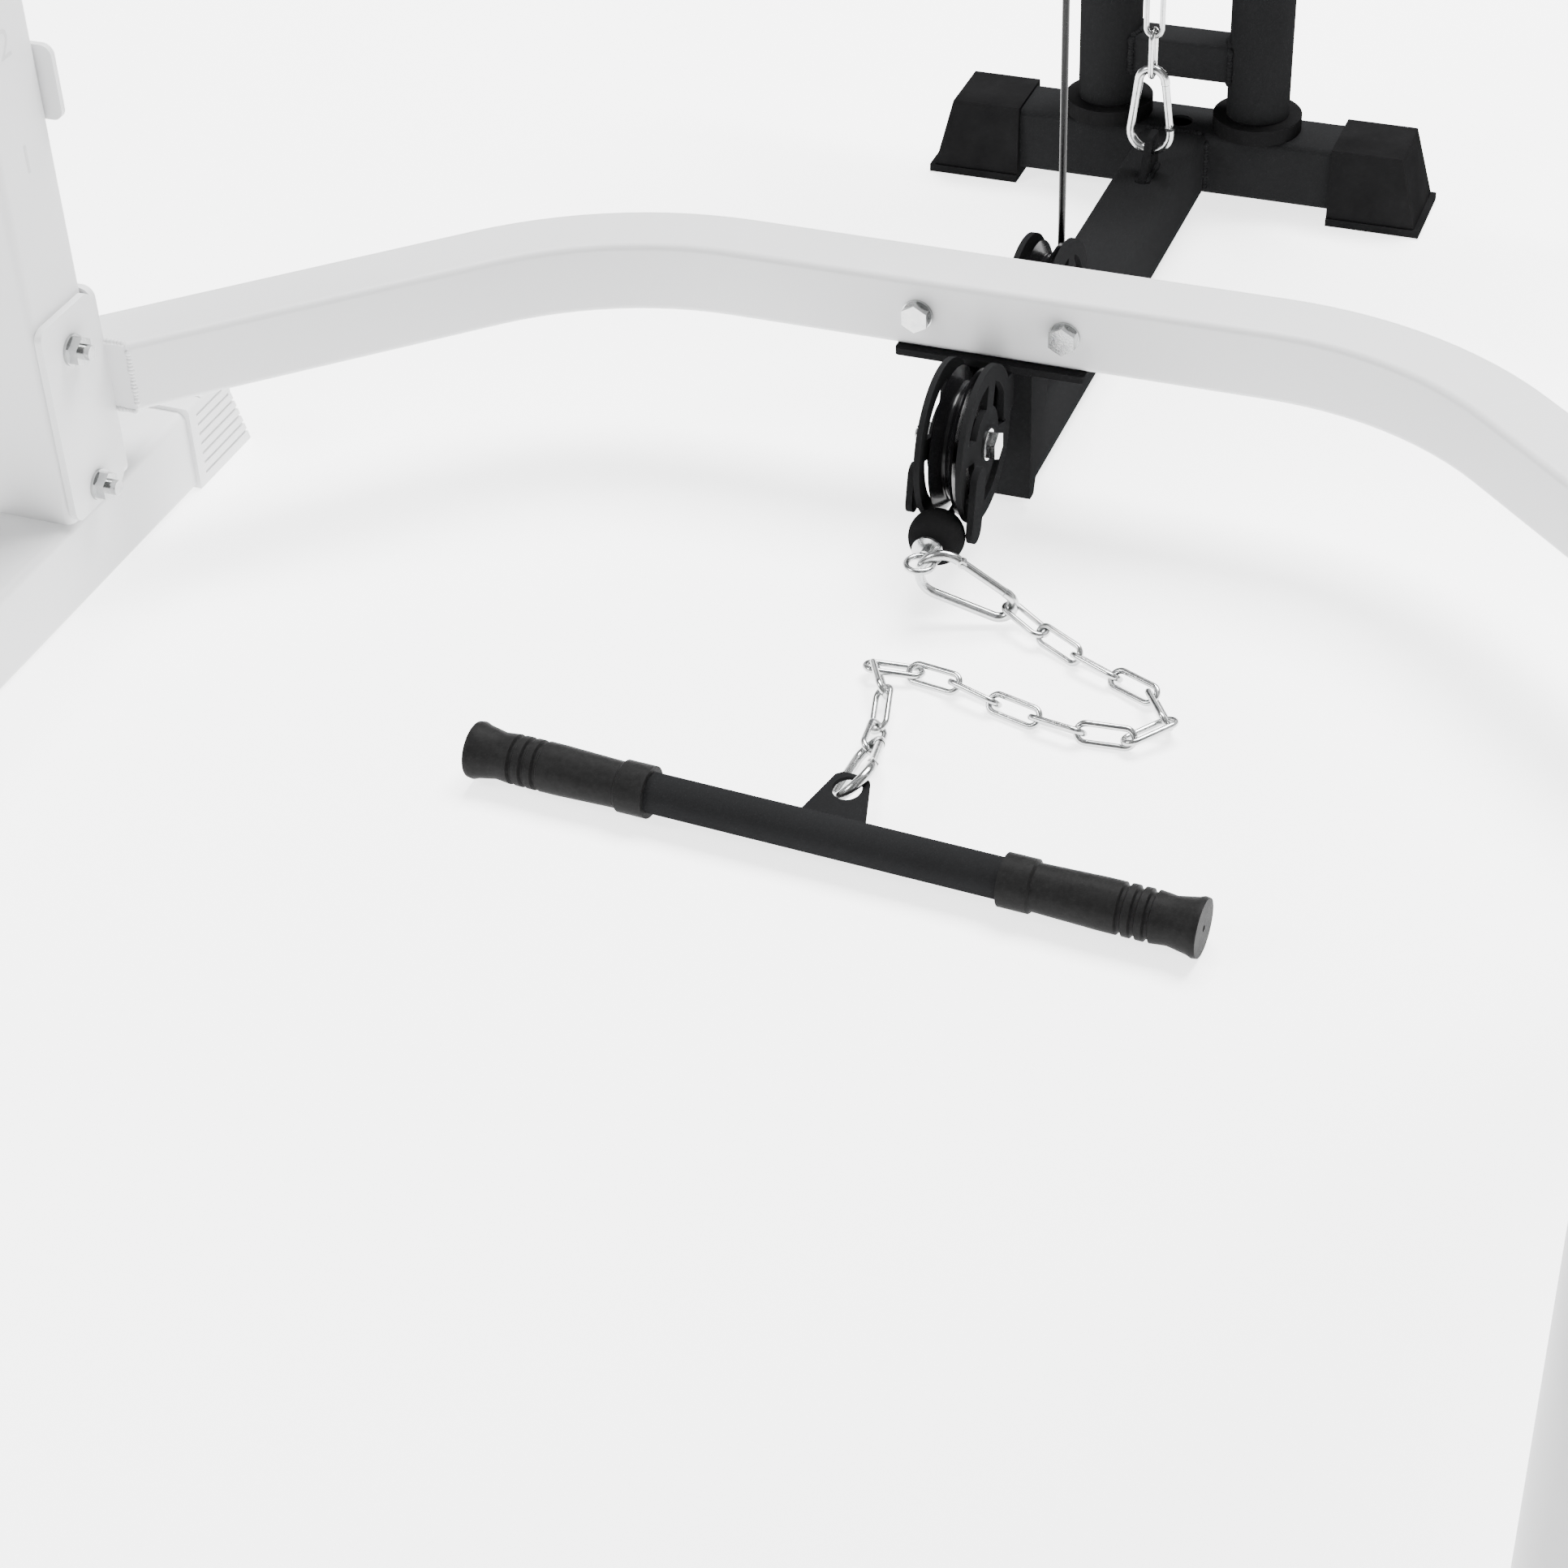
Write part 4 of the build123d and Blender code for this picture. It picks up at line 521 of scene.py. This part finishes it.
def number_strip(name, side, y):
    """The numbers of one upright, on its inner face, reading upright from inside the cage."""
    shape = bmesh.new()
    face_x = side * 527.4 / 1000.0
    for index in range(hole_total):
        words = bpy.data.curves.new("digits", "FONT")
        words.body = str(index + 1)
        words.size = digit_height * 1.35
        words.align_x = "CENTER"
        words.align_y = "CENTER"
        words.resolution_u = 3
        carrier = bpy.data.objects.new("digits", words)
        flat = bpy.data.meshes.new_from_object(carrier)
        across = Vector((0.0, side, 0.0)) * -1.0
        up = Vector((0.0, 0.0, 1.0))
        height = (first_hole + index * hole_pitch) / 1000.0
        turn = Matrix((across, up, across.cross(up))).transposed().to_4x4()
        flat.transform(Matrix.Translation((face_x, y / 1000.0, height)) @ turn)
        shape.from_mesh(flat)
        bpy.data.objects.remove(carrier)
        bpy.data.curves.remove(words)
        bpy.data.meshes.remove(flat)
    bmesh.ops.remove_doubles(shape, verts=shape.verts, dist=0.00001)
    mesh = bpy.data.meshes.new(name)
    shape.to_mesh(mesh)
    shape.free()
    mesh.materials.append(number_ink.material)
    made = bpy.data.objects.new(name, mesh)
    bpy.context.scene.collection.objects.link(made)
    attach(made, "frame")
    print(name, len(mesh.polygons), "faces")
    return made


for side, where in ((-1, "left"), (1, "right")):
    number_strip("front_" + where + "_numbers", side, -822.0)
    number_strip("rear_" + where + "_numbers", side, 228.0)

# %% [markdown]
# ## Liners of the bar hooks
#
# A steel hook would chew the barbell's knurl, so its cup is lined with a strip of slick
# plastic. Its cross-section is an open J, drawn as a few vertices, pulled sideways with an
# extrude, and given its wall with solidify.

# %% Hook liners
hook_back = -784.6
hook_axis_z = 1355.0
liner_line = [(hook_back, hook_axis_z - 24.0), (hook_back, hook_axis_z - 62.5), (-728.3, hook_axis_z - 52.7),
              (-722.6, hook_axis_z - 22.0)]
for side, where in ((-1, "left"), (1, "right")):
    shape = bmesh.new()
    corners = [shape.verts.new(mm(side * 557.5 - 20.0, y, z)) for y, z in liner_line]
    edges = [shape.edges.new((a, b)) for a, b in zip(corners[:-1], corners[1:])]
    pulled = bmesh.ops.extrude_edge_only(shape, edges=edges)
    moved = [v for v in pulled["geom"] if isinstance(v, bmesh.types.BMVert)]
    bmesh.ops.translate(shape, verts=moved, vec=mm(40.0, 0.0, 0.0))
    bmesh.ops.recalc_face_normals(shape, faces=shape.faces)
    upward = sum(face.normal.z * face.calc_area() for face in shape.faces)
    if upward < 0:
        bmesh.ops.reverse_faces(shape, faces=shape.faces)
    bmesh.ops.solidify(shape, geom=shape.faces[:], thickness=-0.0035)
    bends = [e for e in shape.edges if len(e.link_faces) == 2 and e.calc_face_angle(0) > 0.7]
    bmesh.ops.bevel(shape, geom=bends, offset=0.0008, segments=2, profile=0.5, affect="EDGES", material=-1)
    piece(where + "_hook_liner", shape, boot_rubber, where + "_hook", smooth=False)
print("two hook liners")

# %% [markdown]
# ## Rivets of the snap-hook gates
#
# Each gate turns on a tiny rivet that goes right through the bend of the wire. It is a
# short cylinder with rounded ends, laid on the hinge axis that the model already knows, so
# its place is read from the joint and not typed in again.

# %% Gate rivets
for joint in frame["joints"]:
    if not joint["name"].endswith("_gate_hinge"):
        continue
    pivot = Vector(joint["pos_m"])
    axis = Vector(joint["axis"]).normalized()
    shape = bmesh.new()
    turn = axis.to_track_quat("Z", "Y").to_matrix().to_4x4()
    bmesh.ops.create_cone(shape, cap_ends=True, segments=20, radius1=0.0012, radius2=0.0012, depth=0.0072,
                          matrix=Matrix.Translation(pivot) @ turn)
    rims = [e for e in shape.edges if any(len(f.verts) > 4 for f in e.link_faces)]
    bmesh.ops.bevel(shape, geom=rims, offset=0.0004, segments=2, profile=0.5, affect="EDGES", material=-1)
    piece(joint["child"] + "_rivet", shape, zinc, joint["parent"])
    print("rivet for", joint["child"])

# %% [markdown]
# ## Floor and light
#
# The cage stands on a seamless white sweep. The floor glows a little by itself, which is
# the plain way to keep it even and to wash the shadows out to a trace. Light comes from the
# sweep, a dim grey surround, one wide panel overhead towards the back, which puts the soft
# sheen on the tubes' top faces, and one smaller panel from the left for the chain's sparkle.

# %% Floor
sweep = Finish("white sweep", Roughness=0.9, Specular_IOR_Level=0.0, Emission_Strength=2.6)
sweep.shader.inputs["Emission Color"].default_value = (1.0, 1.0, 1.0, 1.0)
sweep.shader.inputs["Base Color"].default_value = (0.92, 0.92, 0.92, 1.0)
floor_shape = bmesh.new()
bmesh.ops.create_grid(floor_shape, x_segments=1, y_segments=1, size=14.0,
                      matrix=Matrix.Translation((0.0, 0.0, -0.0006)))
floor_mesh = bpy.data.meshes.new("floor")
floor_shape.to_mesh(floor_mesh)
floor_shape.free()
floor_mesh.materials.append(sweep.material)
floor = bpy.data.objects.new("floor", floor_mesh)
bpy.context.scene.collection.objects.link(floor)
print("floor", len(floor_mesh.polygons), "face")

# %% Surround and panels
world = bpy.data.worlds.new("studio")
world.use_nodes = True
world.node_tree.nodes["Background"].inputs["Color"].default_value = (1.0, 1.0, 1.0, 1.0)
world.node_tree.nodes["Background"].inputs["Strength"].default_value = 0.28
bpy.context.scene.world = world


def panel(name, place, aim, width, height, watts):
    """A flat rectangular lamp that faces a point."""
    lamp = bpy.data.lights.new(name, "AREA")
    lamp.shape = "RECTANGLE"
    lamp.size = width
    lamp.size_y = height
    lamp.energy = watts
    made = bpy.data.objects.new(name, lamp)
    bpy.context.scene.collection.objects.link(made)
    aimed = (Vector(aim) - Vector(place)).to_track_quat("-Z", "Y").to_matrix().to_4x4()
    made.matrix_world = Matrix.Translation(Vector(place)) @ aimed
    return made


panel("overhead panel", (0.3, 1.9, 3.6), (0.0, 0.3, 0.3), 2.6, 1.8, 600.0)
panel("left panel", (-2.8, -1.6, 2.6), (0.0, 0.3, 0.2), 1.2, 1.2, 110.0)
print("studio lit")
